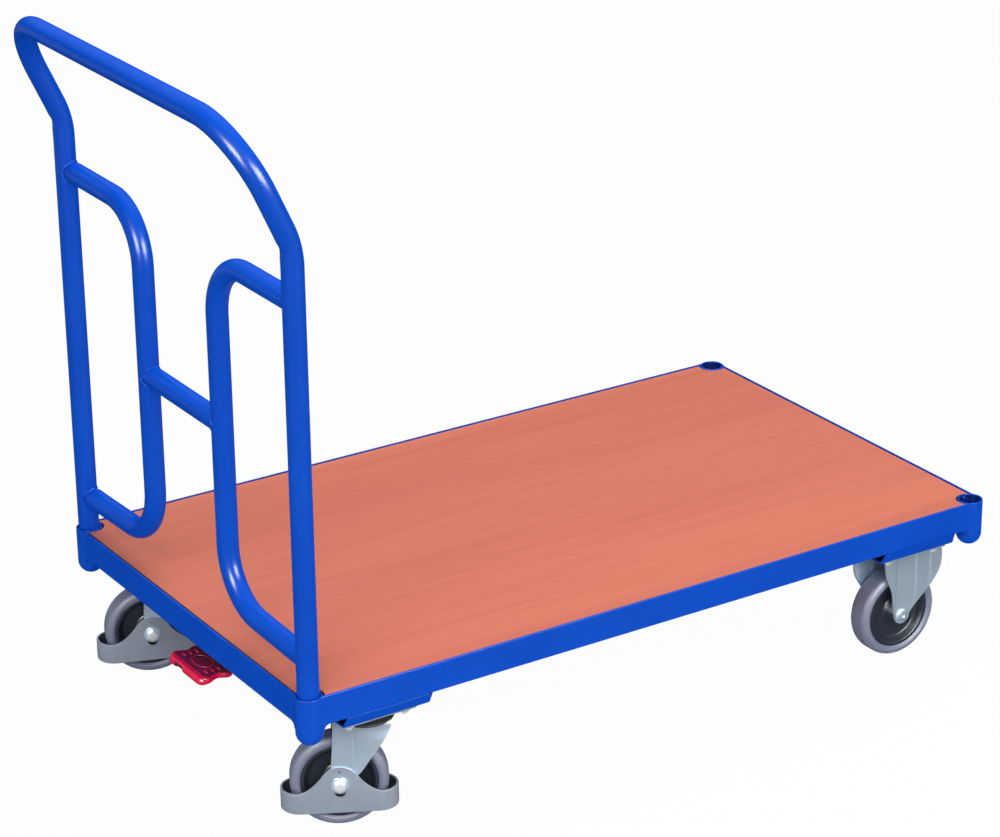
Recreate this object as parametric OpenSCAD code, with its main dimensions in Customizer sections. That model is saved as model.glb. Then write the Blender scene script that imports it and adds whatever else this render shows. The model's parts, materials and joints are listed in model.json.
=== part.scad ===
// Platform trolley: a framed board on two fixed and two swivel castors,
// with a plug-in push bow and a foot brake on the swivel castors.
// Origin on the floor under the middle of the frame, +X to the front, +Z up.

/* [Platform] */
// Overall length of the frame
platform_l = 1070; // [900:5:1400]
// Overall width of the frame
platform_w = 625; // [560:5:800]
// Height of the frame rails
rail_h = 39; // [36:1:60]
// Sheet thickness of the rails
rail_t = 3; // [2:0.5:4]
// Radius of the rails' outer edges
rail_edge_r = 1.2; // [0.4:0.1:1.6]
// Width of the ledge that carries the board
ledge_w = 24; // [18:1:30]
// Width of the lip along the rail's lower edge
lip_w = 12; // [8:1:16]
// Thickness of the deck board
board_t = 12; // [9:1:15]
// How far the board lies below the rail tops
board_drop = 0.8; // [0:0.1:2]
// Gap between the board and the frame
board_gap = 1.5; // [0.5:0.25:3]
// Width of the cross bars under the board
bar_w = 20; // [16:1:30]
// Wall of the cross bars
bar_wall = 2; // [1.5:0.25:3]

/* [Corner sockets] */
// Outside diameter of a corner socket
socket_d = 35; // [33:0.5:40]
// Distance of the socket axis from both outer faces
socket_inset = 14.2; // [13:0.2:17]
// Straight length of a socket below the rails
socket_drop = 10; // [4:1:20]
// Depth to which a tube plugs in
seat_depth = 42; // [36:1:48]
// Gap round a plugged-in tube
plug_gap = 0.5; // [0.2:0.1:0.8]

/* [Push bow] */
// Outside diameter of the bow's tube
tube_d = 28; // [25:0.5:30]
// Wall of the bow's tube
tube_wall = 2; // [1.5:0.25:3]
// Height of the grip's axis above the rails
bow_rise = 725; // [680:5:800]
// Height over which the bow leans back
lean_rise = 144; // [140:1:170]
// Angle at which the bow leans back
lean_angle = 25; // [15:1:30]
// Bend radius where the lean starts
lean_bend_r = 200; // [120:5:220]
// Bend radius at the ends of the grip
grip_bend_r = 89; // [70:1:95]
// Distance of the brackets' upper run below the start of the lean
bracket_below = 27; // [20:1:60]
// Height of the brackets' lower run above the rails
bracket_low = 52; // [40:1:80]
// Distance of the brackets' inner uprights from the middle
bracket_y = 98; // [60:2:130]
// Bend radius of the brackets
bracket_bend_r = 75; // [50:1:85]
// Height of the cross tube above the rails
cross_rise = 287; // [200:5:380]

/* [Castor pans] */
// Length of a pan's bottom
pan_l = 125; // [116:1:140]
// Width of a pan's bottom
pan_w = 98; // [94:1:104]
// Depth of a pan below the rails
pan_drop = 16; // [12:1:22]
// Sheet thickness of a pan
pan_t = 3; // [2:0.5:4]
// Distance of a pan's middle from the frame's end
pan_end = 115; // [105:1:160]
// Distance of the castors' middle from the frame's side
castor_inset = 54.5; // [52:0.5:62]
// How far a pan's end flanges lean outwards
pan_lean = 9; // [4:0.5:12]
// Length that the pan's flanges stop short at each corner
pan_notch = 3; // [1:0.5:6]

/* [Castors] */
// Length of a castor's top plate
plate_l = 105; // [100:1:110]
// Width of a castor's top plate
plate_w = 88; // [80:1:90]
// Thickness of a castor's top plate
plate_t = 4; // [3:0.5:5]
// Bolt spacing along the plate
bolt_x = 80; // [76:0.5:84]
// Bolt spacing across the plate
bolt_y = 60; // [56:0.5:64]
// Bolt diameter
bolt_d = 8; // [6:1:10]
// Distance of the fixed castors' plates forward of their pans' middle
fixed_shift = 7.5; // [0:0.5:9]
// Distance of a fixed wheel behind the middle of its plate
fixed_back = 4; // [0:0.5:10]
// Distance of a swivel wheel behind its kingpin
trail = 34; // [28:1:40]
// Swivel angle at which the left castor stands
swivel_rest_left = 20; // [0:1:60]
// Swivel angle at which the right castor stands
swivel_rest_right = 28; // [0:1:60]
// Room for the wheel between the fork legs
fork_gap = 39; // [38:0.5:46]
// Sheet thickness of the forks
fork_t = 2.5; // [2:0.25:4]
// Diameter of the bearing balls
ball_d = 8; // [6:0.5:9]

/* [Wheels] */
// Wheel diameter
wheel_d = 125; // [112:1:140]
// Height from the top of a wheel to the top of its castor's plate
wheel_room = 40; // [38:1:48]
// Tyre width
tyre_w = 34; // [28:1:38]
// Radial depth of the tyre
tyre_depth = 13; // [9:0.5:16]
// Shoulder radius of the tyre
shoulder_r = 9; // [4:0.5:11]
// Hub diameter of the rim
hub_d = 34; // [30:1:40]
// Outside diameter of the wheel bush
bush_d = 20; // [16:1:24]
// Axle diameter
axle_d = 10; // [8:1:12]

/* [Foot guards] */
// How far a guard stands out beyond the wheel at each end
guard_reach = 12; // [9:0.5:18]
// Height of a guard's end bands
guard_band = 28; // [24:1:36]
// Height of a guard above the floor
guard_floor = 23; // [16:1:28]
// Wall of a guard
guard_wall = 3.2; // [2.5:0.1:4]
// Radius of the guard's rounded top about the axle
guard_top_r = 27.6; // [24:0.2:30]
// Width of the slot round the axle
slot_w = 14; // [13.6:0.2:16]
// Length that the guard can float up
slot_run = 6.8; // [4:0.2:9]

/* [Foot brake] */
// Diameter of the brake shaft
shaft_d = 12; // [10:1:14]
// Lever length from shaft to plunger
lever_l = 35; // [32:1:38]
// Diameter of a plunger's stem
plunger_d = 8; // [6:0.5:9]
// Gap between shoe and tyre with the brake off
shoe_gap = 6.4; // [6.2:0.1:8]
// Width of the pedal pad
pad_w = 98; // [84:2:120]
// Length of the pedal pad
pad_l = 62; // [50:1:70]
// Thickness of the pedal pad
pad_t = 7; // [5:0.5:9]
// How far the pedal stands out behind the frame
pad_reach = 2.5; // [0:0.5:20]
// Depth of the pad's top below the rails
pad_drop = 42; // [36:1:50]
// Width of the pedal's arm
arm_w = 40; // [24:1:60]

/* [Hidden] */
$fn = 64;

// Colours
frame_blue = [0.05, 0.27, 0.74];
board_brown = [0.82, 0.50, 0.40];
zinc = [0.68, 0.71, 0.74];
bearing_steel = [0.60, 0.61, 0.63];
tyre_grey = [0.42, 0.43, 0.49];
rim_black = [0.10, 0.11, 0.15];
guard_grey = [0.55, 0.58, 0.62];
pedal_red = [0.80, 0.03, 0.20];
bush_grey = [0.75, 0.75, 0.72];

// Clearances
weld_gap = 0.1;
run_gap = 0.05;
free_gap = 0.3;
hole_gap = 0.5;
bend_swell = 0.1;
bend_join = 0.5;
lap = 1;

// Heights
castor_h = wheel_d + wheel_room;
rail_z = castor_h + pan_drop;
deck_h = rail_z + rail_h;
board_z = deck_h - board_drop - board_t;
ledge_z = board_z - rail_z;
axle_z = wheel_d / 2;
pad_h = rail_z - pad_drop;

// Places
socket_x = platform_l / 2 - socket_inset;
socket_y = platform_w / 2 - socket_inset;
pan_x = platform_l / 2 - pan_end;
castor_y = platform_w / 2 - castor_inset;
fixed_x = pan_x + fixed_shift;
fixed_axle_x = fixed_x - fixed_back;

// Castor make-up, from the plate down
bolt_clear_d = bolt_d + 2 * hole_gap;
bolt_hex = 13 * bolt_d / 8;
bolt_head = 0.66 * bolt_d;
nut_h = 0.81 * bolt_d;
bolt_end = 4;
nut_relief_d = bolt_hex / cos(30) + 2 * lap;
nut_relief_h = nut_h + bolt_end + 2 * lap;
plate_z = castor_h - plate_t;
plate_corner_r = 6;
race_t = 3.6;
race_r = 30;
ball_track_r = 24;
ball_count = 14;
crown_z = plate_z - race_t - free_gap - ball_d - weld_gap;
crown_r = 38;
crown_back = 7;
crown_front = 35;
leg_y = fork_gap / 2;
leg_out = leg_y + fork_t;
kingpin_d = 20;
kingpin_head_d = 32;
kingpin_head = 4;
boss_r = 13;
flute_t = 1;
rivet_r = 9;
rivet_chamfer = 2;
rivet_t = 3;

// Outlines of the fork legs about the axle, as multiples of the boss radius
fixed_leg_shape = [[-2.54, 6.04], [-2.23, 4.77], [-1.46, 2.77], [-1.23, 0.92], [-1, 0], [0, -0.15],
    [0.8, -0.6], [1.54, 0.62], [3.77, 2.77], [4.92, 4.46], [5.08, 6.35]];
fixed_root = [-2.54, 3.7];
flute_shape = [[-0.7, 0.92], [0.7, 0.92], [1.85, 2.92]];
flute_root = [-1.08, 1.85];
edge_flute = [[2.62, 3.38], [3.69, 3.38]];
edge_flute_root = [2.62, 3.69];
swivel_leg_shape = [[-0.69, 2.15], [-0.85, 0], [0, -0.15], [0.77, -0.38], [2, 1.08],
    [4.08, 4.15], [5, 5.69]];

// Wheel make-up
rim_r = wheel_d / 2 - tyre_depth;
rim_flange = 5;
rim_web = 7;
rim_lip = 2;
rim_draft = 4;
hub_half = leg_y - free_gap;
hub_step = 1.5;
hub_wall = 3;
hub_fillet = 3;
tyre_foot = 3;
rim_w = tyre_w - 2 * tyre_foot;

// Axle stack outside the fork legs
guard_gap = 0.4;
guard_in = leg_out + guard_gap;
guard_out = guard_in + guard_wall;
guard_l = wheel_d + 2 * guard_reach;
guard_turn = 50;
pin_hole_d = 3.5;
pin_hole_up = 18.6;
spacer_d = slot_w - 2 * free_gap;
washer_y = guard_out + guard_gap;
washer_d = 22;
washer_t = 2;
axle_hex = 1.6 * axle_d;
axle_head = 0.64 * axle_d;
axle_nut_h = 0.8 * axle_d;
axle_tail = 2;

// Brake make-up
shaft_x = -pan_x + lever_l;
shaft_room = 3;
shaft_z = rail_z + shaft_d / 2 + shaft_room;
lever_w = 12;
shaft_half = castor_y + lever_w;
nose_r = 5;
plunger_rise = 2;
plunger_top = rail_z + plunger_rise;
plunger_head_d = 16;
plunger_head = 5;
shoe_travel = 8;
shoe_top = crown_z - fork_t - free_gap - kingpin_head - shoe_travel;
shoe_w = 26;
shoe_back = 14;
shoe_front = 10;
shoe_deep = 24;
lever_hub_r = 11;
lever_hub_flat = 2;
bracket_t = 5;
bracket_plate_in = 59;
bracket_plate_y = castor_y - pan_w / 2 - bracket_plate_in;
arm_t = 5;
arm_tip = 14;
arm_bend = 2;
pad_front = -platform_l / 2 - pad_reach;
lip_r = 6;
pad_corner_r = 12;
pad_waist = 8;
waist_at = 0.41;
waist_reach = 0.21;
tread_h = 1;
tread_l = 9;
tread_w = 3;
tread_step = 11;
tread_y = 30;
tread_back = 6;
oval_rx = 15;
oval_ry = 20;
oval_back = 4;
oval_t = 2;

// Bow places
bow_x = -socket_x;
bow_z = deck_h - seat_depth;
lean_tangent = lean_bend_r * tan(lean_angle / 2);
bend_z = deck_h + bow_rise - lean_rise - lean_tangent;
bracket_top_z = bend_z - bracket_below;
lean_straight = lean_rise / cos(lean_angle) - lean_tangent - grip_bend_r;
lean_x = bow_x - lean_bend_r * (1 - cos(lean_angle));
lean_z = bend_z + lean_bend_r * sin(lean_angle);
corner_x = lean_x - lean_straight * sin(lean_angle);
corner_z = lean_z + lean_straight * cos(lean_angle);
grip_x = corner_x - grip_bend_r * sin(lean_angle);
grip_z = corner_z + grip_bend_r * cos(lean_angle);

// Points of an arc about c, from angle a to angle b
function arc(c, r, a, b, n = 6) =
    [for (i = [0:n]) c + r * [cos(a + (b - a) * i / n), sin(a + (b - a) * i / n)]];

// Corners of a rectangle with rounded corners, about its middle
function round_rect(l, w, r) = concat(
    arc([l / 2 - r, w / 2 - r], r, 0, 90),
    arc([r - l / 2, w / 2 - r], r, 90, 180),
    arc([r - l / 2, r - w / 2], r, 180, 270),
    arc([l / 2 - r, r - w / 2], r, 270, 360));

// Points of an ellipse
function ellipse(rx, ry, n = 32) = [for (i = [0:n - 1]) [rx * cos(360 * i / n), ry * sin(360 * i / n)]];

// Draws its child on the left for side 1 and mirrored on the right for side -1
module on_side(side) {
    mirror([0, side < 0 ? 1 : 0, 0]) children();
}

// Stands an outline drawn in X and Z upright, as thick as t about the middle plane
module upright(t) {
    rotate([90, 0, 0])
        linear_extrude(height = t, center = true)
            children();
}

module hex_prism(across, h) {
    cylinder(d = across / cos(30), h = h, $fn = 6);
}

// Frame: rails, sockets, board and cross bars
module rail_section() {
    r = rail_edge_r;
    polygon(concat(
        arc([r, r], r, 270, 180),
        arc([r, rail_h - r], r, 180, 90),
        [[rail_t, rail_h], [rail_t, ledge_z], [rail_t + ledge_w, ledge_z],
         [rail_t + ledge_w, ledge_z - rail_t], [rail_t, ledge_z - rail_t],
         [rail_t, rail_t], [rail_t + lip_w, rail_t], [rail_t + lip_w, 0]]));
}

module socket_cuts(d) {
    for (x = [-socket_x, socket_x], y = [-socket_y, socket_y])
        translate([x, y, rail_z - lap])
            cylinder(d = d, h = rail_h + 2 * lap);
}

module side_rail(side) {
    color(frame_blue)
        on_side(-side)
            difference() {
                translate([0, -platform_w / 2, rail_z])
                    rotate([90, 0, 90])
                        linear_extrude(height = 2 * socket_x, center = true)
                            rail_section();
                socket_cuts(socket_d + 2 * weld_gap);
            }
}

module end_rail(end) {
    inner_y = platform_w / 2 - rail_t - ledge_w - weld_gap;
    color(frame_blue)
        mirror([end > 0 ? 1 : 0, 0, 0])
            difference() {
                translate([-platform_l / 2, 0, rail_z])
                    rotate([90, 0, 0])
                        linear_extrude(height = 2 * socket_y, center = true)
                            rail_section();
                socket_cuts(socket_d + 2 * weld_gap);
                for (side = [-1, 1])
                    on_side(side)
                        translate([rail_t - platform_l / 2, inner_y, rail_z - lap])
                            cube([ledge_w + 2 * lap, platform_w, rail_h + 2 * lap]);
            }
}

// A tube with a round bottom, bored to the seat of the plugged-in tube
module socket(end, side) {
    r = socket_d / 2;
    bore_r = tube_d / 2 + plug_gap;
    dome_z = rail_z - socket_drop;
    color(frame_blue)
        translate([end * socket_x, side * socket_y, 0])
            rotate_extrude()
                polygon(concat(
                    [[0, deck_h - seat_depth], [bore_r, deck_h - seat_depth],
                     [bore_r, deck_h], [r, deck_h]],
                    arc([0, dome_z], r, 0, -90, 12)));
}

module deck_board() {
    edge = rail_t + board_gap;
    color(board_brown)
        difference() {
            translate([edge - platform_l / 2, edge - platform_w / 2, board_z])
                cube([platform_l - 2 * edge, platform_w - 2 * edge, board_t]);
            socket_cuts(socket_d + 2 * board_gap);
        }
}

module cross_bars(end) {
    bar_l = platform_w - 2 * (rail_t + ledge_w);
    bar_h = board_z - rail_z;
    bar_x = pan_l / 2 + pan_lean - pan_t / 2;
    color(frame_blue)
        for (k = [-1, 1])
            translate([end * pan_x + k * bar_x - bar_w / 2, -bar_l / 2, rail_z])
                difference() {
                    cube([bar_w, bar_l, bar_h]);
                    translate([bar_wall, -lap, bar_wall])
                        cube([bar_w - 2 * bar_wall, bar_l + 2 * lap, bar_h - 2 * bar_wall]);
                }
}

// Pans: a bottom and three flanges that lean outwards, open at the corners and towards the rear
module pan_flange(reach, lean, len) {
    upright(len)
        polygon([[reach - pan_t, 0], [reach, 0], [reach + lean, pan_drop], [reach + lean - pan_t, pan_drop]]);
}

module bolt_places() {
    for (x = [-bolt_x, bolt_x] / 2, y = [-bolt_y, bolt_y] / 2)
        translate([x, y, 0])
            children();
}

module pan(end, side) {
    side_lean = castor_inset - pan_w / 2;
    hole_shift = end > 0 ? fixed_shift : 0;
    color(frame_blue)
        translate([end * pan_x, side * castor_y, castor_h])
            difference() {
                union() {
                    translate([-pan_l / 2, -pan_w / 2, 0])
                        cube([pan_l, pan_w, pan_t]);
                    pan_flange(pan_l / 2, pan_lean, pan_w - 2 * pan_notch);
                    for (turn = [90, 270])
                        rotate([0, 0, turn])
                            pan_flange(pan_w / 2, side_lean, pan_l - 2 * pan_notch);
                }
                translate([hole_shift, 0, -lap]) {
                    bolt_places()
                        cylinder(d = bolt_clear_d, h = pan_t + 2 * lap);
                    if (end < 0)
                        cylinder(d = plunger_head_d + 2 * lap, h = pan_t + 2 * lap);
                }
            }
}

// Castor fasteners, one set for each of the four plates
module castor_places() {
    for (side = [-1, 1]) {
        translate([fixed_x, side * castor_y, 0])
            bolt_places()
                children();
        translate([-pan_x, side * castor_y, 0])
            bolt_places()
                children();
    }
}

module castor_bolts() {
    head_z = castor_h + pan_t;
    tail_z = plate_z - nut_h - bolt_end;
    color(zinc)
        castor_places() {
            translate([0, 0, head_z])
                hex_prism(bolt_hex, bolt_head);
            translate([0, 0, tail_z])
                cylinder(d = bolt_d, h = head_z - tail_z);
        }
}

module castor_nuts() {
    color(zinc)
        castor_places()
            translate([0, 0, plate_z - nut_h])
                difference() {
                    hex_prism(bolt_hex, nut_h);
                    translate([0, 0, -lap])
                        cylinder(d = bolt_d + 2 * run_gap, h = nut_h + 2 * lap);
                }
}

module castor_plate() {
    difference() {
        translate([0, 0, plate_z])
            linear_extrude(height = plate_t)
                polygon(round_rect(plate_l, plate_w, plate_corner_r));
        translate([0, 0, plate_z - lap])
            bolt_places()
                cylinder(d = bolt_clear_d, h = plate_t + 2 * lap);
    }
}

// Fixed castor: a plate and two pressed legs in one piece, each leg the other turned half round
function about_axle(shape, x) = [for (p = shape) [x + p[0] * boss_r, axle_z + p[1] * boss_r]];

module leg(x, root, shape, top) {
    polygon(concat([[x + root[0] * boss_r, top]], about_axle(shape, x), [[x + root[1] * boss_r, top]]));
}

module fixed_leg() {
    leg(0, fixed_root, fixed_leg_shape, plate_z + lap);
    translate([0, axle_z])
        circle(r = boss_r);
}

module fixed_flutes() {
    leg(0, flute_root, flute_shape, plate_z);
    leg(0, edge_flute_root, edge_flute, plate_z);
}

module fixed_fork(side) {
    color(zinc)
        translate([fixed_x, side * castor_y, 0])
            difference() {
                union() {
                    castor_plate();
                    for (turn = [0, 180])
                        translate([-fixed_back, 0, 0])
                            rotate([0, 0, turn]) {
                                translate([0, -leg_y - fork_t / 2, 0])
                                    upright(fork_t)
                                        fixed_leg();
                                translate([0, weld_gap - leg_out - flute_t / 2, 0])
                                    upright(flute_t + 2 * weld_gap)
                                        fixed_flutes();
                            }
                }
                translate([-fixed_back, 0, axle_z])
                    rotate([90, 0, 0])
                        cylinder(d = axle_d + 2 * run_gap, h = 2 * leg_out + 2 * lap, center = true);
                translate([0, 0, plate_z - nut_relief_h])
                    bolt_places()
                        cylinder(d = nut_relief_d, h = nut_relief_h);
            }
}

module fixed_axles() {
    color(zinc)
        for (side = [-1, 1])
            translate([fixed_axle_x, side * castor_y, axle_z])
                rotate([90, 0, 0]) {
                    cylinder(d = axle_d, h = 2 * leg_out + rivet_t, center = true);
                    for (k = [0, 180])
                        rotate([k, 0, 0])
                            translate([0, 0, leg_out])
                                cylinder(r1 = rivet_r, r2 = rivet_r - rivet_chamfer, h = rivet_t);
                }
}

// Swivel castor, drawn about its kingpin and turned to its rest angle
module at_kingpin(side) {
    translate([-pan_x, side * castor_y, 0])
        children();
}

module at_swivel(side) {
    rest = side > 0 ? swivel_rest_left : swivel_rest_right;
    at_kingpin(side)
        rotate([0, 0, -rest])
            children();
}

module at_axle(side) {
    at_swivel(side)
        translate([-trail, 0, axle_z])
            children();
}

module swivel_plate(side) {
    color(zinc)
        at_kingpin(side)
            difference() {
                union() {
                    castor_plate();
                    translate([0, 0, plate_z - race_t])
                        cylinder(r = race_r, h = race_t + lap);
                }
                translate([0, 0, plate_z - race_t - lap])
                    cylinder(d = kingpin_d + 2 * weld_gap, h = castor_h);
            }
}

module kingpin(side) {
    r = kingpin_d / 2;
    head_z = crown_z - fork_t - free_gap;
    bore_r = plunger_d / 2 + run_gap;
    color(zinc)
        at_kingpin(side)
            rotate_extrude()
                polygon([[bore_r, head_z - kingpin_head], [kingpin_head_d / 2, head_z - kingpin_head],
                    [kingpin_head_d / 2, head_z], [r, head_z], [r, castor_h], [bore_r, castor_h]]);
}

module swivel_leg() {
    root = [-crown_back, trail + crown_front] / boss_r;
    leg(-trail, root, swivel_leg_shape, crown_z - fork_t / 2);
    translate([-trail, axle_z])
        circle(r = boss_r);
}

module swivel_fork(side) {
    color(zinc)
        at_swivel(side)
            difference() {
                union() {
                    translate([0, 0, crown_z - fork_t])
                        linear_extrude(height = fork_t) {
                            circle(r = crown_r);
                            translate([-trail - crown_back, -leg_out])
                                square([trail + crown_back + crown_front, 2 * leg_out]);
                        }
                    for (k = [-1, 1])
                        translate([0, k * (leg_y + fork_t / 2), 0])
                            upright(fork_t)
                                swivel_leg();
                }
                cylinder(d = kingpin_d + 2 * free_gap, h = castor_h);
                translate([-trail, 0, axle_z])
                    rotate([90, 0, 0])
                        cylinder(d = axle_d + 2 * run_gap, h = 2 * leg_out + 2 * lap, center = true);
            }
}

module swivel_balls(side) {
    color(bearing_steel)
        at_swivel(side)
            for (i = [0:ball_count - 1])
                rotate([0, 0, 360 * i / ball_count])
                    translate([ball_track_r, 0, crown_z + weld_gap + ball_d / 2])
                        sphere(d = ball_d);
}

module axle_bolt(side) {
    far = washer_y + washer_t;
    color(zinc)
        at_axle(side)
            rotate([90, 0, 0]) {
                translate([0, 0, far])
                    hex_prism(axle_hex, axle_head);
                translate([0, 0, -far - axle_nut_h - axle_tail])
                    cylinder(d = axle_d, h = 2 * far + axle_nut_h + axle_tail);
            }
}

// Nut, and on each side the washer and the collar that runs in the guard's slot
module axle_nut(side) {
    color(zinc)
        at_axle(side)
            rotate([90, 0, 0])
                difference() {
                    union() {
                        for (k = [0, 180])
                            rotate([k, 0, 0]) {
                                translate([0, 0, leg_out])
                                    cylinder(d = spacer_d, h = washer_y - leg_out);
                                translate([0, 0, washer_y])
                                    cylinder(d = washer_d, h = washer_t);
                            }
                        translate([0, 0, -washer_y - washer_t - axle_nut_h])
                            hex_prism(axle_hex, axle_nut_h);
                    }
                    cylinder(d = axle_d + 2 * run_gap, h = 4 * guard_out, center = true);
                }
}

// Wheels, drawn about an axle along Y
module at_wheel(end, side) {
    if (end > 0)
        translate([fixed_axle_x, side * castor_y, axle_z])
            rotate([90, 0, 0])
                children();
    else
        at_axle(side)
            rotate([90, 0, 0])
                children();
}

module tyre(end, side) {
    r = wheel_d / 2;
    w = tyre_w / 2;
    s = shoulder_r;
    color(tyre_grey)
        at_wheel(end, side)
            rotate_extrude()
                polygon(concat(
                    [[rim_r + run_gap, w - tyre_foot], [rim_r + tyre_foot, w]],
                    arc([r - s, w - s], s, 90, 0, 8),
                    arc([r - s, s - w], s, 0, -90, 8),
                    [[rim_r + tyre_foot, -w], [rim_r + run_gap, tyre_foot - w]]));
}

// Dished rim with a flange under the tyre, a web and a long hub
module rim(end, side) {
    hub_r = hub_d / 2;
    flange_r = rim_r - rim_flange;
    half_w = rim_w / 2;
    half_web = rim_web / 2;
    hub_end = hub_half - hub_step;
    half = [[bush_d / 2 + run_gap, hub_end], [bush_d / 2 + hub_wall, hub_end],
        [hub_r - hub_wall, hub_end - hub_step], [hub_r, half_web + hub_fillet],
        [hub_r + hub_fillet, half_web], [flange_r - rim_draft, half_web],
        [flange_r - rim_lip, half_w - rim_lip], [flange_r, half_w], [rim_r, half_w]];
    count = len(half);
    color(rim_black)
        at_wheel(end, side)
            rotate_extrude()
                polygon(concat(half, [for (i = [count - 1:-1:0]) [half[i][0], -half[i][1]]]));
}

module bush(end, side) {
    color(bush_grey)
        at_wheel(end, side)
            difference() {
                cylinder(d = bush_d, h = 2 * hub_half, center = true);
                cylinder(d = axle_d + 2 * run_gap, h = 2 * hub_half + 2 * lap, center = true);
            }
}

// Foot guard: an oval band round the wheel whose sides rise to the axle
module oval(half_l, half_w) {
    square([2 * (half_l - half_w), 2 * half_w], center = true);
    for (k = [-1, 1])
        translate([k * (half_l - half_w), 0])
            circle(r = half_w);
}

// One flank, from the rounded top down to the end band, as a curve that levels out
module guard_outline() {
    axle = axle_z - guard_floor;
    top_x = guard_top_r * sin(guard_turn);
    top_z = axle + guard_top_r * cos(guard_turn);
    run = 2 * (top_z - guard_band) / tan(guard_turn);
    steps = 8;
    flank = [for (i = [0:steps])
        let (t = i / steps)
        [top_x + run * (1 - t), guard_band + (top_z - guard_band) * t * t]];
    polygon(concat(
        [[-guard_l, 0], [guard_l, 0], [guard_l, guard_band]],
        flank,
        arc([0, axle], guard_top_r, 90 - guard_turn, 90 + guard_turn, 14),
        [for (i = [steps:-1:0]) [-flank[i][0], flank[i][1]]],
        [[-guard_l, guard_band]]));
}

module foot_guard(side) {
    color(guard_grey)
        at_axle(side)
            difference() {
                translate([0, 0, guard_floor - axle_z])
                    intersection() {
                        linear_extrude(height = axle_z)
                            difference() {
                                oval(guard_l / 2, guard_out);
                                oval(guard_l / 2 - guard_wall, guard_in);
                            }
                        upright(4 * guard_out)
                            guard_outline();
                    }
                upright(4 * guard_out) {
                    circle(d = slot_w);
                    translate([0, -slot_run])
                        circle(d = slot_w);
                    translate([-slot_w / 2, -slot_run])
                        square([slot_w, slot_run]);
                }
                translate([0, 0, pin_hole_up])
                    rotate([90, 0, 0])
                        cylinder(d = pin_hole_d, h = 4 * guard_out, center = true);
            }
}

// Foot brake
module brake_plunger(side) {
    color(zinc)
        at_swivel(side) {
            translate([0, 0, shoe_top])
                cylinder(d = plunger_d, h = plunger_top - shoe_top - lap);
            translate([0, 0, plunger_top - plunger_head])
                cylinder(d = plunger_head_d, h = plunger_head);
        }
}

module brake_shoe(side) {
    shoe_r = wheel_d / 2 + shoe_gap;
    color(bearing_steel)
        at_swivel(side)
            difference() {
                translate([-shoe_back, -shoe_w / 2, shoe_top - shoe_deep])
                    cube([shoe_back + shoe_front, shoe_w, shoe_deep]);
                translate([-trail, 0, axle_z])
                    rotate([90, 0, 0])
                        cylinder(r = shoe_r, h = shoe_w + 2 * lap, center = true, $fn = 128);
            }
}

module at_shaft() {
    translate([shaft_x, 0, shaft_z])
        children();
}

module brake_shaft() {
    color(zinc)
        at_shaft()
            rotate([90, 0, 0])
                cylinder(d = shaft_d, h = 2 * shaft_half, center = true);
}

module brake_levers() {
    nose_z = plunger_top + free_gap + nose_r - shaft_z;
    color(zinc)
        for (side = [-1, 1])
            at_shaft()
                translate([0, side * castor_y, 0])
                    upright(lever_w)
                        difference() {
                            union() {
                                circle(r = lever_hub_r);
                                translate([-lever_l, nose_z])
                                    circle(r = nose_r);
                                polygon([[0, lever_hub_r - lever_hub_flat], [0, -nose_r],
                                    [-lever_l, nose_z - nose_r], [-lever_l, nose_z + nose_r]]);
                            }
                            circle(d = shaft_d + 2 * weld_gap);
                        }
}

// Plates that carry the brake shaft, welded to the inner cross bar
module brake_brackets() {
    bar_face = -pan_x + pan_l / 2 + pan_lean - pan_t / 2 - bar_w / 2 - shaft_x;
    half_h = shaft_d / 2 + bracket_t;
    color(frame_blue)
        for (side = [-1, 1])
            at_shaft()
                translate([0, side * bracket_plate_y, 0])
                    upright(bracket_t)
                        difference() {
                            union() {
                                circle(r = half_h);
                                translate([0, -half_h])
                                    square([bar_face, 2 * half_h]);
                            }
                            circle(d = shaft_d + 2 * run_gap);
                        }
}

// Strap from the shaft down to the underside of the pad
module pedal_arm() {
    pad_under = pad_h - pad_t - shaft_z;
    bend_x = pad_front + pad_l + lap - shaft_x;
    tip_x = pad_front + arm_tip - shaft_x;
    color(zinc)
        at_shaft()
            upright(arm_w)
                difference() {
                    union() {
                        circle(r = lever_hub_r);
                        polygon([[0, -lever_hub_r], [-lever_hub_r, 0], [bend_x, pad_under],
                            [tip_x, pad_under], [tip_x, pad_under - arm_t],
                            [bend_x + arm_bend, pad_under - arm_t]]);
                    }
                    circle(d = shaft_d + 2 * weld_gap);
                }
}

// Outline of the pad: round corners, and a waist at the given shares of its length
function pad_outline(l, w, r, steps = 8) =
    let (waist = [for (i = [0:steps])
        [l * (waist_at - 0.5 + waist_reach * (2 * i / steps - 1)),
            w / 2 - pad_waist * (1 - cos(360 * i / steps)) / 2]])
    concat(
        arc([l / 2 - r, w / 2 - r], r, 0, 90),
        [for (i = [steps:-1:0]) waist[i]],
        arc([r - l / 2, w / 2 - r], r, 90, 180),
        arc([r - l / 2, r - w / 2], r, 180, 270),
        [for (p = waist) [p[0], -p[1]]],
        arc([l / 2 - r, r - w / 2], r, 270, 360));

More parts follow.
